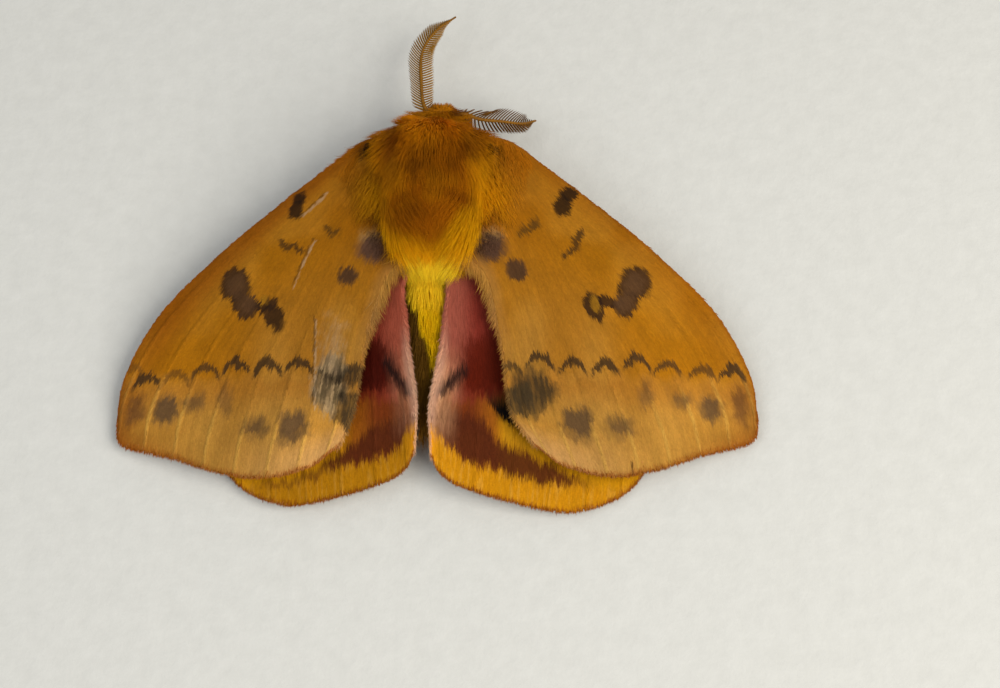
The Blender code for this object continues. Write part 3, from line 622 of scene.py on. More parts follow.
def paint_body(points):
    """Thorax, head, abdomen and legs: brown felt, a rust patch, a crease in painted shade, gold at
    the sides and rear.
    """
    x, y, z = points.T
    across = x - THORAX_CENTRE[0]
    beside = np.abs(across)
    soft = grain(points, 1.6, 31)
    mottle = grain(points, 1.2, 36)
    edge = np.interp(across, (-3.5, -2.0, -0.8, 0.6, 1.5, 2.5), (1.4, 0.2, -0.8, -0.8, 1.0, 2.4))
    gold = step(0.6, -0.8, y - edge + 1.2 * (soft - 0.5))
    side = step(1.9, 3.3, beside + 0.6 * (soft - 0.5)) * step(8.0, 4.0, y)
    crease = np.abs(y - (2.6 - 0.14 * across**2)) / 0.35
    patch = np.hypot(across / (1.0 + 0.35 * np.clip(y, -1, 2)), (y - 0.6) / 1.5)
    streak = np.exp(-(((x + 2.85) / 0.45) ** 2)) + np.exp(-(((x - 2.0) / 0.45) ** 2))
    streak *= step(3.0, 4.6, y) * step(9.4, 8.2, y)
    hinges = [
        np.hypot((x - SIDES[name] * hinge_out) / 0.3, (y - hinge_y) / 0.5)
        for name, (hinge_out, hinge_y) in HINGES.items()
    ]
    behind = (y < -1.6) * 1.0
    # A dark strip down the abdomen's left side beside the hindwing: brown hair, with painted shade
    # between the abdomen and the hindwing.
    left_edge = np.interp(-y, (2.4, 4.2, 7.2, 10.2, 11.4), (-2.2, -1.9, -0.85, -0.3, 1.2))
    brown_and_shaded_strip = step(left_edge + 0.15, left_edge - 0.15, x + 0.35 * (mottle - 0.5))
    brown_and_shaded_strip *= step(-3.2, -4.4, y)
    paint = over(
        ground("#B56C02", len(points)),
        ("#A25A02", step(0.4, 0.7, soft) * 0.6),
        ("#D99A04", gold),
        ("#E9A612", step(-0.8, -2.4, y) * 0.95),
        # The thorax's own gold at its sides, painted stronger on the right as painted light from
        # the right.
        ("#DB9803", side * np.where(x > 0, 0.8, 0.35)),
        # A crease across the thorax painted darker: painted shade in the fold of the fur.
        ("#8E4A02", step(1.5, 0.4, crease) * step(3.0, 2.0, beside) * 0.6),
        ("#9C5404", step(1.3, 0.6, patch + 0.4 * (soft - 0.5)) * (z > 5) * 0.5),
        ("#6E3402", streak * step(0.2, 0.6, grain(points, 0.9, 35)) * 0.8),
        ("#7A4202", step(0.55, 0.75, mottle) * step(-0.5, 1.5, y) * 0.5),
        ("#B87A08", step(0.45, 0.25, mottle) * step(-0.5, 1.5, y) * 0.3),
        # The right shoulder painted darker: painted shade that evens out the light falling from the
        # right.
        ("#7C4202", step(0.8, 2.4, x) * step(4.5, 6.5, y) * 0.5),
        *((HINGE_BROWN, step(1.25, 0.8, hinge) * (z > 5) * 0.95) for hinge in hinges),
        ("#AE6C04", step(8.6, 9.4, y) * 0.85),
        ("#5B2A06", step(0.5, 0.3, np.hypot(x - 1.1, y - 10.6)) * 0.8),
        ("#8A5A22", step(4.0, 2.6, z) * (y > -1) * 0.7),
        ("#DAAE08", behind),
        ("#F8D22A", behind * step(-6.5, -3.5, y) * 0.7),
        ("#482A0C", brown_and_shaded_strip * 0.95),
        ("#9B6A22", step(2.6, 1.9, z) * behind * 0.7),
        ("#7C3F12", ((z < 2.4) & (y > -9) & (beside > 2.0)) * 0.85),
    )
    strand = grain(points * (2.4, 0.7, 2.4), 1.0, 38)
    middle = np.exp(-(((x + 0.7) / 1.8) ** 2) - ((y - 4.3) / 1.5) ** 2) * (z > 5)
    # Painted light on the front of the thorax, which faces away from the lamps, less at its sides
    # and least on the left.
    front = step(5.6, 7.4, y) * step(9.6, 8.8, y) * (z > 4.5)
    front *= 1 - np.where(x > 0, 0.65, 0.95) * step(1.2, 2.4, beside)
    # Random tone in lumps and strands, a darker middle, the painted light on the front, and painted
    # shade on the right side of the rear gold with painted light on its left, as the light falls
    # from the right.
    shade = (0.82 + 0.2 * grain(points, 0.3, 37) + 0.2 * strand) * (1 - 0.27 * middle)
    shade *= (1 + 0.45 * front) * (1 - 0.12 * np.sign(across) * gold * step(-3.0, -1.5, y))
    return paint * shade[:, None]


def add_node(tree, kind, settings=(), links=()):
    """Adds a node with its settings, and links (socket, output) pairs into it."""
    node = tree.nodes.new(kind)
    for name, value in dict(settings).items():
        if hasattr(node, name):
            setattr(node, name, value)
        else:
            node.inputs[name].default_value = value
    for socket, output in dict(links).items():
        tree.links.new(output, node.inputs[socket])
    return node


def new_finish(name, roughness, specular=0.5):
    """A new material: itself, its node tree, its shader, and places on the object."""
    made = bpy.data.materials.new(name)
    made.use_nodes = True
    tree = made.node_tree
    shader = tree.nodes["Principled BSDF"]
    shader.inputs["Roughness"].default_value = roughness
    shader.inputs["Specular IOR Level"].default_value = specular
    return made, tree, shader, add_node(tree, "ShaderNodeTexCoord").outputs["Object"]


def add_noise(tree, places, size_mm, detail, roughness):
    """Fine lumps of a size in millimetres, from 0 to 1."""
    settings = {"Scale": 1 / (size_mm * MM), "Detail": detail, "Roughness": roughness}
    return add_node(tree, "ShaderNodeTexNoise", settings, {"Vector": places}).outputs["Fac"]


def add_relief(tree, shader, height, strength, distance, **more):
    """Makes the shader's surface stand up in millimetres where the height is greater."""
    settings = {"Strength": strength, "Distance": distance, **more}
    relief = add_node(tree, "ShaderNodeBump", settings, {"Height": height})
    tree.links.new(relief.outputs["Normal"], shader.inputs["Normal"])


def add_ramp(tree, shader, value, stops):
    """Colours the shader from a value, by stops of (position, colour)."""
    ramp = add_node(tree, "ShaderNodeValToRGB", (), {"Fac": value})
    for element, (position, colour) in zip(ramp.color_ramp.elements, stops):
        element.position = position
        element.color = (*linear(colour), 1)
    tree.links.new(ramp.outputs["Color"], shader.inputs["Base Color"])


def tinted_finish(name, roughness, grain_mm, bump, specular):
    """A soft matt finish that takes its colour from the painted tint, with fine lumps of a size."""
    made, tree, shader, places = new_finish(name, roughness, specular)
    lumps = add_noise(tree, places, grain_mm, 3.0, 0.6)
    tint = add_node(tree, "ShaderNodeAttribute", {"attribute_name": "tint"})
    shade = add_node(
        tree,
        "ShaderNodeMapRange",
        {"From Min": 0.3, "From Max": 0.7, "To Min": 0.93, "To Max": 1.07},
        {"Value": lumps},
    )
    colour = add_node(
        tree,
        "ShaderNodeVectorMath",
        {"operation": "SCALE"},
        {"Vector": tint.outputs["Color"], "Scale": shade.outputs["Result"]},
    )
    tree.links.new(colour.outputs["Vector"], shader.inputs["Base Color"])
    add_relief(tree, shader, lumps, bump, grain_mm * MM * 0.4)
    return made


# Wing membrane and scales: chitin with a powdery, almost matt face
WING_SCALES = tinted_finish("wing_scale_chitin", 0.75, 0.12, 0.12, 0.06)
# Hair-like scales: chitin strands, matt and soft to the eye
HAIR = tinted_finish("hair_scale_chitin", 0.7, 0.25, 0.1, 0.06)
# Skin under the coat: dull chitin, only seen between hairs
CUTICLE = tinted_finish("body_cuticle", 0.7, 0.2, 0.4, 0.1)
# Antenna: bare, slightly waxy chitin
ANTENNA = tinted_finish("antenna_chitin", 0.5, 0.15, 0.2, 0.15)


def eye_finish():
    """Compound eye: dark glossy lenses about 0.03 mm across, drawn at 0.07 mm so that they show."""
    made, tree, shader, places = new_finish("compound_eye_lens", 0.22)
    shader.inputs["Coat Weight"].default_value = 0.5
    settings = {"Scale": 1 / (0.07 * MM)}
    cells = add_node(tree, "ShaderNodeTexVoronoi", settings, {"Vector": places})
    add_ramp(tree, shader, cells.outputs["Distance"], ((0.0, "#3A2416"), (1.0, "#0E0907")))
    add_relief(tree, shader, cells.outputs["Distance"], 0.5, 0.02 * MM, invert=True)
    return made


def floor_finish():
    """Matt off-white board with a faint mottle."""
    made, tree, shader, places = new_finish("matt_board", 0.95, 0.1)
    mottle = add_noise(tree, places, 1.5, 5.0, 0.65)
    add_ramp(tree, shader, mottle, ((0.3, "#C9C8C1"), (0.7, "#CFCEC7")))
    add_relief(tree, shader, mottle, 0.35, 0.2 * MM)
    return made


def set_tint(mesh, paint):
    """Stores a painted colour on each vertex."""
    tint = mesh.color_attributes.new("tint", "FLOAT_COLOR", "POINT")
    values = np.concatenate([np.clip(paint, 0, 1), np.ones((len(paint), 1))], 1)
    tint.data.foreach_set("color", values.astype(np.float32).ravel())


def vertex_places(mesh):
    """The mesh's vertices as an array."""
    places = np.zeros(len(mesh.vertices) * 3, np.float32)
    mesh.vertices.foreach_get("co", places)
    return places.reshape(-1, 3).astype(float)


def show(piece, finish, nodes=()):
    """Gives a finished piece its material, and ties it to the part."""
    piece.data.materials.clear()
    piece.data.materials.append(finish)
    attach(piece, "root")
    if nodes:
        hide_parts(*nodes)


def linked(name, data):
    """A new object in the scene that holds a mesh, lamp or camera."""
    made = bpy.data.objects.new(name, data)
    bpy.context.scene.collection.objects.link(made)
    return made


def scaled_object(name, mesh):
    """An object from a mesh in millimetres, scaled to metres."""
    mesh.transform(Matrix.Scale(MM, 4))
    return linked(name, mesh)


def mesh_of(bm, name):
    """A mesh from a finished bmesh."""
    mesh = bpy.data.meshes.new(name)
    bm.to_mesh(mesh)
    bm.free()
    return mesh


def applied(rough, name):
    """The mesh of an object with its modifiers applied; the object goes."""
    graph = bpy.context.evaluated_depsgraph_get()
    mesh = bpy.data.meshes.new_from_object(rough.evaluated_get(graph))
    bpy.data.objects.remove(rough, do_unlink=True)
    mesh.name = name
    return mesh


def joined(name, points, faces, paint, patches):
    """One mesh of many small closed shapes, with the patch that each has on the skin's unwrap."""
    mesh = bpy.data.meshes.new(name)
    mesh.vertices.add(len(points))
    mesh.vertices.foreach_set("co", points.astype(np.float32).ravel())
    mesh.loops.add(faces.size)
    mesh.loops.foreach_set("vertex_index", faces.astype(np.int32).ravel())
    mesh.polygons.add(len(faces))
    mesh.polygons.foreach_set("loop_start", np.arange(0, faces.size, 3, dtype=np.int32))
    mesh.update(calc_edges=True)
    mesh.validate()
    set_tint(mesh, paint)
    unwrap = mesh.uv_layers.new(name="OFBake")
    unwrap.data.foreach_set("uv", patches[faces.ravel()].astype(np.float32).ravel())
    return scaled_object(name, mesh)


def tuft_faces(rings):
    """Triangles of one three-sided tuft: its root cap, its rings and its tip."""
    faces = [(2, 1, 0)]
    for ring in range(rings - 1):
        for corner in range(3):
            here, beside = ring * 3 + corner, ring * 3 + (corner + 1) % 3
            faces += [(here, beside, beside + 3), (here, beside + 3, here + 3)]
    last = (rings - 1) * 3
    faces += [(last + corner, last + (corner + 1) % 3, last + 3) for corner in range(3)]
    return np.array(faces)


def tufts(roots, lie, out, length, width, rise, sway, rings=2, flat=0.6):
    """Points of tapered tufts that leave their roots along the lie, rise, bend over and sway."""
    across = unit(np.cross(lie, out))
    points = []
    for ring in range(rings + 1):
        t = ring / rings
        middle = roots + lie * (length * t)[:, None]
        middle = middle + out * (rise * t * (2 - t))[:, None] + across * (sway * t * t)[:, None]
        if ring == rings:
            points.append(middle)
            break
        wide = (width / 2 * (1 - 0.45 * t))[:, None]
        for angle in (math.radians(210), math.radians(330), math.radians(90)):
            beside = across * wide * math.cos(angle)
            points.append(middle + beside + out * wide * flat * math.sin(angle))
    return np.stack(points, 1)


def scale_points(roots, lie, out, length, width, rise):
    """Points of flat pointed scales: two at the root, one on the ridge and the tip."""
    across = unit(np.cross(lie, out))
    half = across * (width / 2)[:, None]
    ridge = roots + lie * (length * 0.4)[:, None] + out * (rise * 0.4 + 0.003)[:, None]
    tip = roots + lie * length[:, None] + out * rise[:, None]
    return np.stack([roots - half, roots + half, ridge, tip], 1)


SCALE_FACES = np.array(((0, 3, 1), (0, 1, 2), (1, 3, 2), (0, 2, 3)))
# Share of the unwrap's side that one tuft takes
PATCH = 0.003


def coat(name, shapes, faces, paint, spots, finish):
    """Builds one coat piece from each tuft's points, colour and place on the unwrap."""
    count, size = shapes.shape[:2]
    offsets = np.arange(count)[:, None, None] * size
    all_faces = (faces[None] + offsets).reshape(-1, 3)
    shares = np.linspace(0, 1, size)
    local = np.stack([np.sin(shares * 9.4) * 0.5, shares - 0.5], 1) * PATCH
    patches = (np.clip(spots, PATCH, 1 - PATCH)[:, None] + local[None]).reshape(-1, 2)
    tones = np.repeat(paint, size, axis=0)
    piece = joined(name, shapes.reshape(-1, 3), all_faces, tones, patches)
    # A feeler's branches are round, and flat faces keep the light on scales and hair even
    if finish is ANTENNA:
        piece.data.shade_smooth()
    else:
        piece.data.shade_flat()
    show(piece, finish)


def combed(lie, out, loose=0.0):
    """Directions made uneven by a share, then laid flat on surfaces that face a way out."""
    if loose:
        lie = unit(lie + chance.normal(0, loose, lie.shape))
    return unit(lie - out * np.sum(lie * out, axis=1)[:, None])


def fur(name, shapes, paint, points):
    """A coat of hair over part of the body, from its roots."""
    coat(name, shapes, tuft_faces(2), paint, body_unwrap(points), HAIR)


def shuffled_tone(paint, share, warm=0.03):
    """Paint with each tuft a little lighter or darker than the next."""
    light = 1 + chance.uniform(-share, share, (len(paint), 1))
    hue = 1 + chance.uniform(-warm, warm, paint.shape)
    return paint * light * hue


def hinge_tuft(wing):
    """Short dark hair that stands on the hinge spot: its places on the unwrap and its points."""
    u, v = 0.25 * chance.random(60000), 0.5 * chance.random(60000)
    inside = blob(wing.place(u, v), HINGES[wing.side], (0.2, 0.5), 12, 0.1, 0.1) > 0.5
    u, v = u[inside][:HINGE_HAIRS], v[inside][:HINGE_HAIRS]
    count = len(u)
    _, _, up = wing.directions(u, v)
    lie = np.tile(unit(np.array((SIDES[wing.side] * 0.3, -1.0, 0.0))), (count, 1))
    length, rise = chance.uniform(0.25, 0.4, count), chance.uniform(0.8, 1.1, count)
    width, sway = np.full(count, 0.09), np.zeros(count)
    return u, v, tufts(wing.at(u, v, 0.1), lie, up, length, width, rise, sway)


def build_root_hair(wing):
    """Long gold hair that streams back over the forewing's root, out of the thorax's side."""
    count = ROOT_HAIRS
    near_root = 0.2
    u = 0.01 + near_root * chance.random(count) ** 1.7
    v = chance.random(count) * 0.95
    _, _, up = wing.directions(u, v)
    swing = SIDES[wing.side] * chance.uniform(0.15, 0.6, count)
    lie = unit(np.stack([swing, -np.ones(count), np.full(count, -0.12)], 1))
    edge = (v < 0.1) & (wing.side == "left")
    lie = np.where(edge[:, None], unit(np.array((SIDES[wing.side], -0.25, -0.15))), lie)
    lie = combed(lie, up)
    (x, top), _, _ = FORE_MARKS[wing.side]["near"]
    clear = 1 - blob(wing.place(u, v), (x, top + 1.0), (1.5, 2.0), 0, 0.3)
    length = chance.uniform(1.4, 2.6, count) * (1 - 2.4 * u) * (0.35 + 0.65 * clear)
    length *= np.where(edge, 0.45, 1)
    beside = blob(wing.place(u, v), HINGES[wing.side], (0.8, 1.1), 0, 0.3)
    length *= 1 - 0.85 * beside
    rise = chance.uniform(0.15, 1.0, count) * step(near_root, 0.02, u) * (1 - 0.8 * beside)
    width, sway = chance.uniform(0.05, 0.08, count), chance.normal(0, 0.12, count)
    shapes = tufts(wing.at(u, v, 0.05), lie, up, length, width, rise, sway)
    # Over the wing's paint: gold near the root, and a lighter orange at the front as painted light
    # against the shade among the raised hair.
    paint = over(
        paint_forewing(wing, u, v),
        ("#DB9803", step(near_root, 0.05, u) * step(0.2, 0.6, v) * 0.75 * clear),
        ("#B06A08", step(0.35, 0.1, v) * 0.5),
    )
    # Painted shade: the root hair is painted darker on the left wing and lighter on the right, as
    # the light falls from the right.
    paint *= 0.85 if wing.side == "left" else 1.15
    dark_u, dark_v, tuft = hinge_tuft(wing)
    shapes = np.concatenate([shapes, tuft])
    paint = np.concatenate([paint, ground(HINGE_BROWN, len(tuft))])
    u, v = np.r_[u, dark_u], np.r_[v, dark_v]
    coat(f"forewing_{wing.side}_root_hair", shapes, tuft_faces(2), shuffled_tone(paint, 0.08, 0.03),
         np.stack([u, v], 1) * 0.98 + 0.01, HAIR)


def build_wing(kind, side):
    """A wing's membrane, the scales on both its faces and the fringe along its margins."""
    wing = Wing(kind, side)
    painter = paint_forewing if kind == "forewing" else paint_hindwing
    along, across = MEMBRANE_CELLS[kind]
    bm = bmesh.new()
    bmesh.ops.create_grid(bm, x_segments=along, y_segments=across, size=0.5)
    mesh = mesh_of(bm, "unwrap")
    flat = vertex_places(mesh)
    u, v = np.clip(flat[:, 0] + 0.5, 0, 1), np.clip(flat[:, 1] + 0.5, 0, 1)
    middle = wing.at(u, v)
    mesh.vertices.foreach_set("co", middle.astype(np.float32).ravel())
    if side == "right":
        mesh.flip_normals()
    sheet = linked("membrane", mesh)
    wall = sheet.modifiers.new("thickness", "SOLIDIFY")
    wall.thickness = MEMBRANE
    wall.offset = 0.0
    solid = applied(sheet, f"{kind}_{side}_membrane")
    heights = vertex_places(solid)[:, 2]
    upper_first = heights[: len(u)].mean() > heights[len(u) :].mean()
    top, under = painter(wing, u, v), paint_underside(wing, u, v)
    paint = np.concatenate([top, under] if upper_first else [under, top])
    set_tint(solid, paint * SCALE_DEPTH)
    solid.shade_smooth()
    piece = scaled_object(f"{kind}_{side}_membrane", solid)
    show(piece, WING_SCALES, [f"{kind}_{side}"])
    build_scales(wing, painter)
    build_fringe(wing, painter)
    if kind == "forewing":
        build_root_hair(wing)


def build_scales(wing, painter):
    """Slender scales over both faces of a wing, lying outwards along its rays."""
    name = f"{wing.kind}_{wing.side}"
    wide = wing.kind == "forewing"
    faces = (("upper", 1, UPPER_SCALES[wing.kind], 0.01), ("lower", -1, LOWER_SCALES, 0.51))
    for face, sign, count, start in faces:
        u, v = wing.scattered(count)
        ahead, aside, up = wing.directions(u, v)
        loose = 0.12 if wide else 0.07
        swing = chance.normal(0, loose, len(u)) + 0.3 * (grain(wing.place(u, v), 1.3, 51) - 0.5)
        lie = unit(ahead + aside * swing[:, None])
        roots = wing.at(u, v) + up * (sign * (MEMBRANE / 2 + 0.006))
        length = chance.uniform(0.32, 0.5, len(u))
        width = chance.uniform(0.09, 0.14, len(u))
        rise = chance.uniform(0.002, 0.01, len(u))
        hairy = np.zeros(len(u))
        if face == "upper" and not wide:
            hairy = (0.6 + 1.3 * step(0.75, 0.3, u)) * step(1.02, 0.9, u)
        if face == "upper" and wide:
            hairy = 2.0 * step(0.25, 0.0, u)
        length *= 1 + hairy
        width *= 1 - 0.2 * hairy
        rise *= 1 + 1.5 * hairy
        paint = painter(wing, u, v) if face == "upper" else paint_underside(wing, u, v)
        shapes = scale_points(roots, lie, up * sign, length, width, rise)
        spots = np.stack([u * 0.48 + start, v * 0.98 + 0.01], 1)
        tones = shuffled_tone(paint * SCALE_DEPTH, 0.09, 0.02)
        coat(f"{name}_{face}_scales", shapes, SCALE_FACES, tones, spots, WING_SCALES)


def build_fringe(wing, painter):
    """Hair along the margins: short at the outer one, and long on the inner one near the body."""
    parts = []
    wide = wing.kind == "forewing"
    runs = (
        ("outer", 2600, 0.2, 0.34),
        ("inner", 2200, 0.35, 0.65),
        ("costa", 500, 0.1, 0.2),
    )
    for edge, count, shortest, longest in runs:
        t = chance.random(count)
        near = 1 - np.abs(chance.normal(0, 0.008, count))
        if edge == "outer":
            u, v = near, t
        elif edge == "inner":
            u, v = t**1.2, near
        else:
            u, v = 0.06 + 0.94 * t, 1 - near
        ahead, aside, up = wing.directions(u, v)
        length = chance.uniform(shortest, longest, count)
        lie = ahead.copy()
        if edge == "inner":
            long = step(0.62, 0.2, u) if wide else step(0.9, 0.5, u)
            length *= 1 + (1.9 if wide else 0.5) * long
            lie = unit(ahead * (0.9 if wide else 1.3) + aside * (0.4 + 0.2 * long)[:, None])
        if edge == "costa":
            lie = unit(ahead - aside * 0.35)
        loose = 0.3 if edge == "inner" and wide else 0.12
        lie = unit(lie + aside * chance.normal(0, loose, count)[:, None])
        roots = wing.at(u, v, 0.0) + up * chance.uniform(-0.05, 0.06, count)[:, None]
        shapes = tufts(
            roots, lie, up, length, chance.uniform(0.05, 0.09, count),
            chance.normal(0.01, 0.04, count), chance.normal(0, 0.05, count),
        )
        paint = painter(wing, u, v)
        if edge == "outer":
            paint = over(
                paint,
                ("#95500F", np.full(count, 0.6)),
                ("#C08C5C", (chance.random(count) < 0.25) * 0.4),
            )
        if edge == "inner" and wide:
            paint = over(
                paint,
                ("#B0834A", 0.3 + 0.4 * step(0.6, 0.2, u)),
                ("#C48E30", step(0.4, 0.2, u) * 0.5),
            )
            paint = paint * 0.88
        if edge == "inner" and not wide:
            paint = over(paint, ("#D2A888", 0.1 + 0.55 * step(0.35, 0.7, u)))
        parts.append((shapes, shuffled_tone(paint, 0.2), np.stack([u, v], 1) * 0.98 + 0.01))
    shapes, paint, spots = (np.concatenate(column) for column in zip(*parts))
    coat(f"{wing.kind}_{wing.side}_fringe", shapes, tuft_faces(2), paint, spots, HAIR)


def egg(bm, centre, radii, segments=40, rings=28, shape=None):
    """Adds a ball with three radii and poles along Y to a bmesh; shape swells its sections."""
    made = bmesh.ops.create_uvsphere(bm, u_segments=segments, v_segments=rings, radius=1.0)
    for vert in made["verts"]:
        across, along, up = vert.co.x, vert.co.z, -vert.co.y
        swell = 1.0
        if shape and abs(along) < 0.999:
            swell = float(shape(np.array(along))) / math.sqrt(1 - along**2)
        vert.co = Vector(centre) + Vector(
            (across * swell * radii[0], along * radii[1], up * swell * radii[2])
        )


def limb(bm, points, radii, sides=12):
    """Adds a round tapered limb to a bmesh, as overlapping cones and balls along a route."""
    for start, end, first, last in zip(points, points[1:], radii, radii[1:]):
        start, end = Vector(start), Vector(end)
        run = end - start
        spin = Vector((0, 0, 1)).rotation_difference(run).to_matrix().to_4x4()
        place = Matrix.Translation((start + end) / 2) @ spin
        bmesh.ops.create_cone(
            bm, cap_ends=True, segments=sides, radius1=first, radius2=last,
            depth=run.length, matrix=place,
        )
        ball = Matrix.Translation(end)
        bmesh.ops.create_uvsphere(bm, u_segments=sides, v_segments=8, radius=last, matrix=ball)


def abdomen_radius(t):
    """Radius at a share of the abdomen's length, with its segments as a slight swell."""
    profile = ABDOMEN_RADIUS * (1 - 0.5 * t**2) * math.sqrt(max(0.0, 1 - t**7))
    return profile * (1 + 0.05 * math.cos(2 * math.pi * ABDOMEN_SEGMENTS * t))


def abdomen_point(t):
    """A point on the abdomen's middle line."""
    y = ABDOMEN_FRONT[0] + (ABDOMEN_TIP[0] - ABDOMEN_FRONT[0]) * t
    z = ABDOMEN_FRONT[1] + (ABDOMEN_TIP[1] - ABDOMEN_FRONT[1]) * t
    return (ABDOMEN_X, y, z)


def leg_route(pair, side):
    """A leg's joints, from its root to its foot."""
    return [(THORAX_CENTRE[0] + SIDES[side] * out, y, z) for out, y, z in LEG_POINTS[pair]]


def build_skin():
    """One closed skin over thorax, head, palps, abdomen and legs, inside the solids by its coat."""
    bm = bmesh.new()
    egg(bm, THORAX_CENTRE, THORAX_RADII - SKIN_DEPTH, shape=thorax_section)
    egg(bm, HEAD_CENTRE, HEAD_RADII - 0.2)
    egg(bm, (HEAD_CENTRE + THORAX_CENTRE + np.array((0, 3.0, 0))) / 2, (1.3, 1.6, 1.2))
    shares = [n / 40 for n in range(41)]
    radii = [max(0.3, abdomen_radius(t) - SKIN_DEPTH) for t in shares]
    limb(bm, [abdomen_point(t) for t in shares], radii, 28)
    for side in SIDES:
        root = HEAD_CENTRE + np.array((SIDES[side] * 0.5, 0.6, -0.8))
        bend = root + np.array((0, 0.7, 0.0))
        limb(bm, [root, bend, root + np.array((0, 1.25, -0.3))], (0.3, 0.3, 0.16))
        for pair in LEG_POINTS:
            route = leg_route(pair, side)
            hip = Vector(route[0]) * 0.6 + Vector(THORAX_CENTRE) * 0.4
            limb(bm, [hip, *route], (0.7, *LEG_RADII))
    rough = linked("rough_skin", mesh_of(bm, "rough_skin"))
    melt = rough.modifiers.new("melt", "REMESH")
    melt.mode = "VOXEL"
    melt.voxel_size = SKIN_VOXEL
    ease = rough.modifiers.new("ease", "SMOOTH")
    ease.factor = 0.5
    ease.iterations = 3
    skin = applied(rough, "body_skin")
    places = vertex_places(skin)
    places[:, 2] = np.maximum(places[:, 2], 0.02)
    skin.vertices.foreach_set("co", places.astype(np.float32).ravel())
    set_tint(skin, paint_body(places))
    skin.shade_smooth()
    return skin


def surface_samples(mesh, count, weigh):
    """Random points over a mesh with their normals, as dense as a weighing function says."""
    mesh.calc_loop_triangles()
    corners = np.zeros(len(mesh.loop_triangles) * 3, np.int32)
    mesh.loop_triangles.foreach_get("vertices", corners)
    corners = corners.reshape(-1, 3)
    places = vertex_places(mesh)
    normals = np.zeros(len(mesh.vertices) * 3, np.float32)
    mesh.vertex_normals.foreach_get("vector", normals)
    normals = normals.reshape(-1, 3)
    a, b, c = (places[corners[:, k]] for k in range(3))
    area = np.linalg.norm(np.cross(b - a, c - a), axis=1) / 2
    weight = area * weigh((a + b + c) / 3)
    chosen = chance.choice(len(corners), count, p=weight / weight.sum())
    r, s = np.sqrt(chance.random(count)), chance.random(count)
    shares = np.stack([1 - r, r * (1 - s), r * s], 1)
    points = np.einsum("nk,nkd->nd", shares, places[corners[chosen]])
    ways = unit(np.einsum("nk,nkd->nd", shares, normals[corners[chosen]]))
    return points, ways


def in_head(p):
    """Whether places on the skin belong to the head, as the next three say of the other parts."""
    return (p[:, 1] > 8.75) & (np.abs(p[:, 0] - HEAD_CENTRE[0]) < 2.3) & (p[:, 2] > 2.2)


def in_legs(p):
    offset = (p - THORAX_CENTRE) / THORAX_RADII
    return (np.linalg.norm(offset, axis=1) > 1.02) & (p[:, 1] > -9) & ~in_head(p) & (
        (np.abs(p[:, 0] - ABDOMEN_X) > 1.9) | (p[:, 2] < 0.6) | (p[:, 1] > 3)
    )


def in_abdomen(p):
    return (p[:, 1] < -0.6) & ~in_legs(p)


def in_thorax(p):
    return ~in_head(p) & ~in_legs(p) & ~in_abdomen(p)


def body_unwrap(points):
    """Places on an unwrap of the body: round its long axis and along it."""
    turn = np.arctan2(points[:, 0] + 0.5, points[:, 2] - 3.6) / (2 * math.pi) + 0.5
    return np.stack([turn * 0.96 + 0.02, (points[:, 1] + 16) / 30], 1)


# How far hair over a wing stays above its plane, and hair under it below
WING_ABOVE = 0.25
WING_BELOW = 0.3


def clear_of_wings(shapes, roots):
    """Bends tufts so that those rooted over the wings stay over them, and the rest stay under."""
    for kind in ("forewing", "hindwing"):
        shape = WINGS[kind]
        x, y, z = (shapes[..., k] for k in range(3))
        out = np.abs(x - shape["axis"])
        plane = wing_plane(shape, out, y)
        if kind == "hindwing":
            plane = plane + hindwing_crest(out, y)
            over_wing = (out > 1.4) & (y < 1.8)
        else:
            edge = THORAX_RADII[0] * thorax_section((y - THORAX_CENTRE[1]) / THORAX_RADII[1])
            over_wing = (np.abs(x - THORAX_CENTRE[0]) > edge + 0.1) & (y < 7.2) & (y > -2.5)
        root_plane = wing_plane(shape, np.abs(roots[:, 0] - shape["axis"]), roots[:, 1])
        above = (roots[:, 2] > root_plane)[:, None]
        higher, lower = np.maximum(z, plane + WING_ABOVE), np.minimum(z, plane - WING_BELOW)
        shapes[..., 2] = np.where(over_wing, np.where(above, higher, lower), z)
    return shapes


def build_thorax_coat(skin, name):
    """Long soft hair that lies back over the thorax and fans out over the wing roots."""
    points, out = surface_samples(
        skin, THORAX_HAIRS, lambda p: in_thorax(p) * (0.3 + (p[:, 2] > 3.5))
    )
    x, y, _ = (points - THORAX_CENTRE).T
    spread = np.sign(x) * step(1.2, 3.4, np.abs(x)) * 0.85 * step(-0.8, 1.8, y)
    gather = -0.5 * x * step(1.2, -1.8, y)
    wave = grain(points, 1.1, 61) - 0.5
    lie = np.stack([spread + gather + wave * 0.4, -np.ones(len(x)), -0.1 * np.ones(len(x))], 1)
    lie = combed(lie, out, 0.1)
    rear = step(0.0, -4.5, y)
    front = step(2.5, 4.5, y)
    shoulder = step(1.6, 3.0, np.abs(x)) * step(0.5, 2.5, y)
    length = chance.uniform(1.6, 2.4, len(x)) * (1 + 0.55 * rear - 0.3 * front)
    corner = step(1.9, 2.8, np.abs(x)) * step(1.8, 3.4, y)
    tips = points + lie * length[:, None]
    for side, (hinge_out, hinge_y) in HINGES.items():
        away = np.hypot(tips[:, 0] - SIDES[side] * hinge_out, (tips[:, 1] - hinge_y) / 1.2)
        length *= 1 - 0.55 * step(1.3, 0.6, away)
    rise = chance.uniform(0.55, 0.95, len(x)) * (1 + 0.1 * front + 0.6 * shoulder + 0.9 * rear)
    rise *= 1 + 0.8 * corner
    width = chance.uniform(0.04, 0.07, len(x))
    shapes = tufts(points - out * 0.05, lie, out, length, width, rise, wave * 0.8)
    shapes = clear_of_wings(shapes, points)
    shapes[..., 2] = np.clip(shapes[..., 2], 0.08, 9.3)
    paint = shuffled_tone(paint_body(points + lie * (0.6 * length)[:, None]), 0.07, 0.03)
    fur(name, shapes, paint, points)


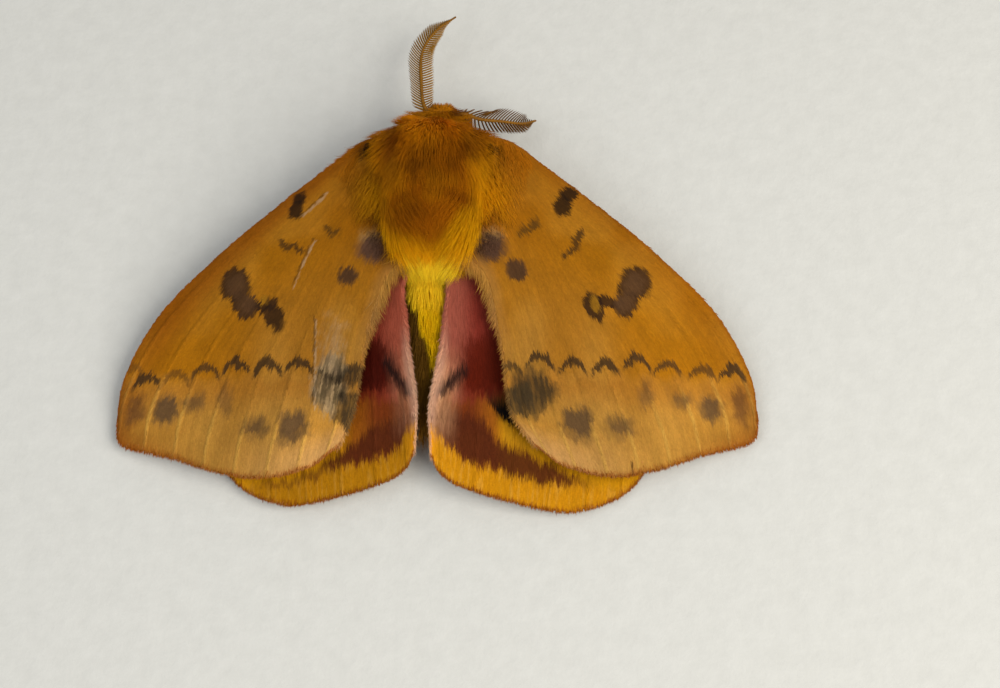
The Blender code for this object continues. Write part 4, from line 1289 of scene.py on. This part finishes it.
def build_abdomen_coat(skin):
    """Shaggy hair that lies back along the abdomen."""
    points, out = surface_samples(
        skin, ABDOMEN_HAIRS, lambda p: in_abdomen(p) * (0.4 + (p[:, 2] > 2.2))
    )
    wave = grain(points, 0.8, 63) - 0.5
    lie = np.stack([wave * 0.5, -np.ones(len(wave)), -0.06 * np.ones(len(wave))], 1)
    lie = combed(lie, out, 0.1)
    length = chance.uniform(1.3, 2.1, len(wave))
    rise = chance.uniform(0.25, 0.5, len(wave))
    width = chance.uniform(0.05, 0.09, len(wave))
    shapes = tufts(points - out * 0.05, lie, out, length, width, rise, wave * 0.6)
    shapes = clear_of_wings(shapes, points)
    shapes[..., 2] = np.maximum(shapes[..., 2], 0.08)
    paint = shuffled_tone(paint_body(points + lie * (0.6 * length)[:, None]), 0.08, 0.03)
    fur("abdomen_coat", shapes, paint, points)


def build_head_coat(skin):
    """Short hair over the head: forwards on the face, backwards on the crown."""
    eyes = [eye_place(side) for side in SIDES]

    def weigh(p):
        free = np.ones(len(p), bool)
        for eye in eyes:
            free &= np.linalg.norm(p - eye, axis=1) > EYE_RADIUS + 0.06
        return in_head(p) & free

    points, out = surface_samples(skin, HEAD_HAIRS, weigh)
    way = (points - HEAD_CENTRE) / HEAD_RADII
    ahead = step(0.2, 0.8, way[:, 1])
    lie = np.stack([way[:, 0] * 0.5, 2 * ahead - 1, -ahead * 0.8], 1)
    lie = combed(lie, out, 0.15)
    count = len(points)
    brow = step(0.35, 0.75, np.abs(way[:, 0])) * step(-0.5, 0.2, way[:, 2])
    brow *= step(0.9, 0.3, way[:, 1])
    fan = unit(np.stack([np.sign(way[:, 0]), np.full(count, 0.1), np.full(count, 0.3)], 1))
    lie = unit(lie * (1 - brow)[:, None] + fan * brow[:, None])
    length = chance.uniform(0.5, 0.9, count) * (1 + np.where(way[:, 0] > 0, 0.4, 0.8) * brow)
    shapes = tufts(
        points - out * 0.03, lie, out, length, chance.uniform(0.05, 0.09, count),
        chance.uniform(0.2, 0.4, count), chance.normal(0, 0.08, count),
    )
    paint = shuffled_tone(paint_body(points), 0.12, 0.04)
    fur("head_coat", shapes, paint, points)


def build_leg_coat(skin):
    """Short hair that lies down each leg, thicker on the upper joints."""
    points, out = surface_samples(skin, LEG_HAIRS, in_legs)
    nearest = np.full(len(points), 1e9)
    lie = np.zeros_like(points)
    joint = np.zeros(len(points))
    for side in SIDES:
        for pair in LEG_POINTS:
            route = np.array(leg_route(pair, side))
            for number, (start, end) in enumerate(zip(route, route[1:])):
                run = end - start
                share = np.clip((points - start) @ run / (run @ run), 0, 1)
                away = np.linalg.norm(points - start - share[:, None] * run, axis=1)
                closer = away < nearest
                nearest = np.where(closer, away, nearest)
                lie = np.where(closer[:, None], run / np.linalg.norm(run), lie)
                joint = np.where(closer, number + share, joint)
    lie = combed(lie, out, 0.15)
    count = len(points)
    length = chance.uniform(0.5, 0.9, count) * np.interp(joint, (0, 2, 3, 4), (1.3, 0.9, 0.4, 0.3))
    rise = length * chance.uniform(0.15, 0.35, count)
    shapes = tufts(
        points - out * 0.02, lie, out, length, chance.uniform(0.06, 0.1, count), rise,
        chance.normal(0, 0.05, count),
    )
    shapes[..., 2] = np.maximum(shapes[..., 2], 0.02)
    paint = shuffled_tone(paint_body(points), 0.2, 0.05)
    fur("leg_coat", shapes, paint, points * np.array((1, 1, 0.6)))


def eye_place(side):
    """An eye's middle."""
    return HEAD_CENTRE + np.array((SIDES[side] * EYE_OUT, EYE_AHEAD, -EYE_DOWN))


def build_eye(side, finish):
    """A dark compound eye with its rim sunk in the hair."""
    bm = bmesh.new()
    egg(bm, eye_place(side), (EYE_RADIUS,) * 3, 36, 24)
    bmesh.ops.recalc_face_normals(bm, faces=bm.faces)
    mesh = mesh_of(bm, f"eye_{side}_lens")
    mesh.shade_smooth()
    show(scaled_object(f"eye_{side}_lens", mesh), finish, [f"eye_{side}"])


# Side branches of the antennae: how many in each row, how long, and the tones of the two tiers
RAMI = {"left": 44, "right": 28}
RAMUS_LENGTH = {"fore": 1.55, "rear": 1.15}
RAMUS_TONES = {"left": ("#80560F", "#A67C2C"), "right": ("#6A4412", "#583810")}


def build_antenna(side):
    """A feathered antenna: a stem and a comb of slender branches on each side, in two tiers."""
    line = smooth_line(ANTENNA_LINE[side], 90)
    lengths = np.r_[0, np.cumsum(np.linalg.norm(np.diff(line, axis=0), axis=1))]
    radii = np.interp(lengths, (0, lengths[-1]), (0.16, 0.08))
    radii *= 1 + 0.1 * np.cos(lengths * 2 * math.pi / 0.27)
    bm = bmesh.new()
    limb(bm, line[::2], radii[::2], 10)
    mesh = mesh_of(bm, f"antenna_{side}_stem")
    places = vertex_places(mesh)
    set_tint(mesh, over(ground("#8A5C10", len(places)), ("#6E4608", grain(places, 0.3))))
    mesh.shade_smooth()
    show(scaled_object(f"antenna_{side}_stem", mesh), ANTENNA, [f"antenna_{side}"])
    up = np.array((0.0, 0.0, 1.0))
    count = RAMI[side]
    shapes, paint, spots = [], [], []
    for tier, (edge, sign) in itertools.product((0, 1), (("rear", 1), ("fore", -1))):
        offset = 0.5 * tier if side == "left" and edge == "fore" else 0
        share = (np.arange(count) + offset + 0.2) / count
        place = 0.05 + 0.93 * share
        roots = along_line(line, place)
        ahead = unit(along_line(line, place + 0.01) - along_line(line, place - 0.01))
        across = unit(np.cross(ahead, up))
        above = unit(np.cross(across, ahead))
        profile = np.sqrt(np.sin(math.pi * (0.16 + 0.8 * share)))
        profile *= np.clip((1.03 - share) / 0.3, 0, 1)
        if side == "right":
            profile *= np.clip(share / 0.2, 0, 1)
        length = RAMUS_LENGTH[edge] * profile * (1.3 if side == "right" and edge == "fore" else 1)
        length = length * chance.uniform(0.97, 1.03, count)
        slant = 0.85 + 0.2 * share if edge == "fore" else 0.1 + 0.9 * share**1.5
        lie = unit(across * sign + ahead * slant[:, None] - above * (0.05 * tier))
        out = combed(above, lie)
        width = np.full(count, 0.12 if side == "left" else 0.14)
        shift = above * (0.02 - 0.06 * tier)
        bend = 0.15 * length * (1 if edge == "fore" else -1)
        shapes.append(tufts(roots + shift, lie, out, length, width, -0.04 * length, bend, 5, 0.9))
        paint.append(shuffled_tone(ground(RAMUS_TONES[side][tier], count), 0.1))
        spots.append(np.stack([place, np.full(count, 0.5 + 0.2 * sign + 0.05 * tier)], 1))
    coat(f"antenna_{side}_branches", np.concatenate(shapes), tuft_faces(5), np.concatenate(paint),
         np.concatenate(spots), ANTENNA)


def build_floor():
    """The plain pale floor under the moth."""
    bm = bmesh.new()
    bmesh.ops.create_grid(bm, x_segments=2, y_segments=2, size=FLOOR_HALF)
    mesh = mesh_of(bm, "floor")
    mesh.materials.append(floor_finish())
    linked("floor", mesh)


def area_light(name, place, target, size, power, colour):
    """A soft square light that faces a target, in millimetres."""
    lamp = bpy.data.lights.new(name, "AREA")
    lamp.size = size * MM
    lamp.energy = power
    lamp.color = linear(colour)
    made = linked(name, lamp)
    made.location = Vector(place) * MM
    made.rotation_euler = (Vector(target) - Vector(place)).to_track_quat("-Z", "Y").to_euler()


def build_camera():
    """The photograph's view: from behind and above, 22 degrees off straight down."""
    camera = bpy.data.cameras.new("camera")
    camera.lens = CAMERA_LENS
    camera.sensor_width = 36.0
    camera.sensor_fit = "HORIZONTAL"
    camera.clip_start = 0.005
    made = linked("camera", camera)
    made.location = Vector(CAMERA_PLACE) * MM
    made.rotation_euler = (math.radians(CAMERA_TILT), 0.0, 0.0)
    bpy.context.scene.camera = made


BODY_NODES = ["thorax", "abdomen", "head"]
BODY_NODES += [f"palp_{side}" for side in SIDES]
BODY_NODES += [f"leg_{pair}_{side}" for side in SIDES for pair in LEG_POINTS]

build_camera()
skin_mesh = build_skin()
for each_layer in ("under", "upper"):
    build_thorax_coat(skin_mesh, f"thorax_{each_layer}_coat")
build_abdomen_coat(skin_mesh)
build_head_coat(skin_mesh)
build_leg_coat(skin_mesh)
show(scaled_object("body_skin", skin_mesh), CUTICLE, BODY_NODES)
lens = eye_finish()
for each_side in SIDES:
    build_eye(each_side, lens)
    build_antenna(each_side)
    for each_kind in WINGS:
        build_wing(each_kind, each_side)
build_floor()

world = bpy.data.worlds.new("soft_room")
world.use_nodes = True
sky = world.node_tree.nodes["Background"]
sky.inputs["Color"].default_value = (*linear("#F4F6FA"), 1)
sky.inputs["Strength"].default_value = 0.4
bpy.context.scene.world = world
bpy.context.scene.view_settings.view_transform = "Standard"
area_light("key", (185, -100, 200), LIT_PLACE, 230, 0.88, "#FFFBF4")
area_light("fill", (-150, -90, 220), LIT_PLACE, 220, 0.27, "#F4F8FF")
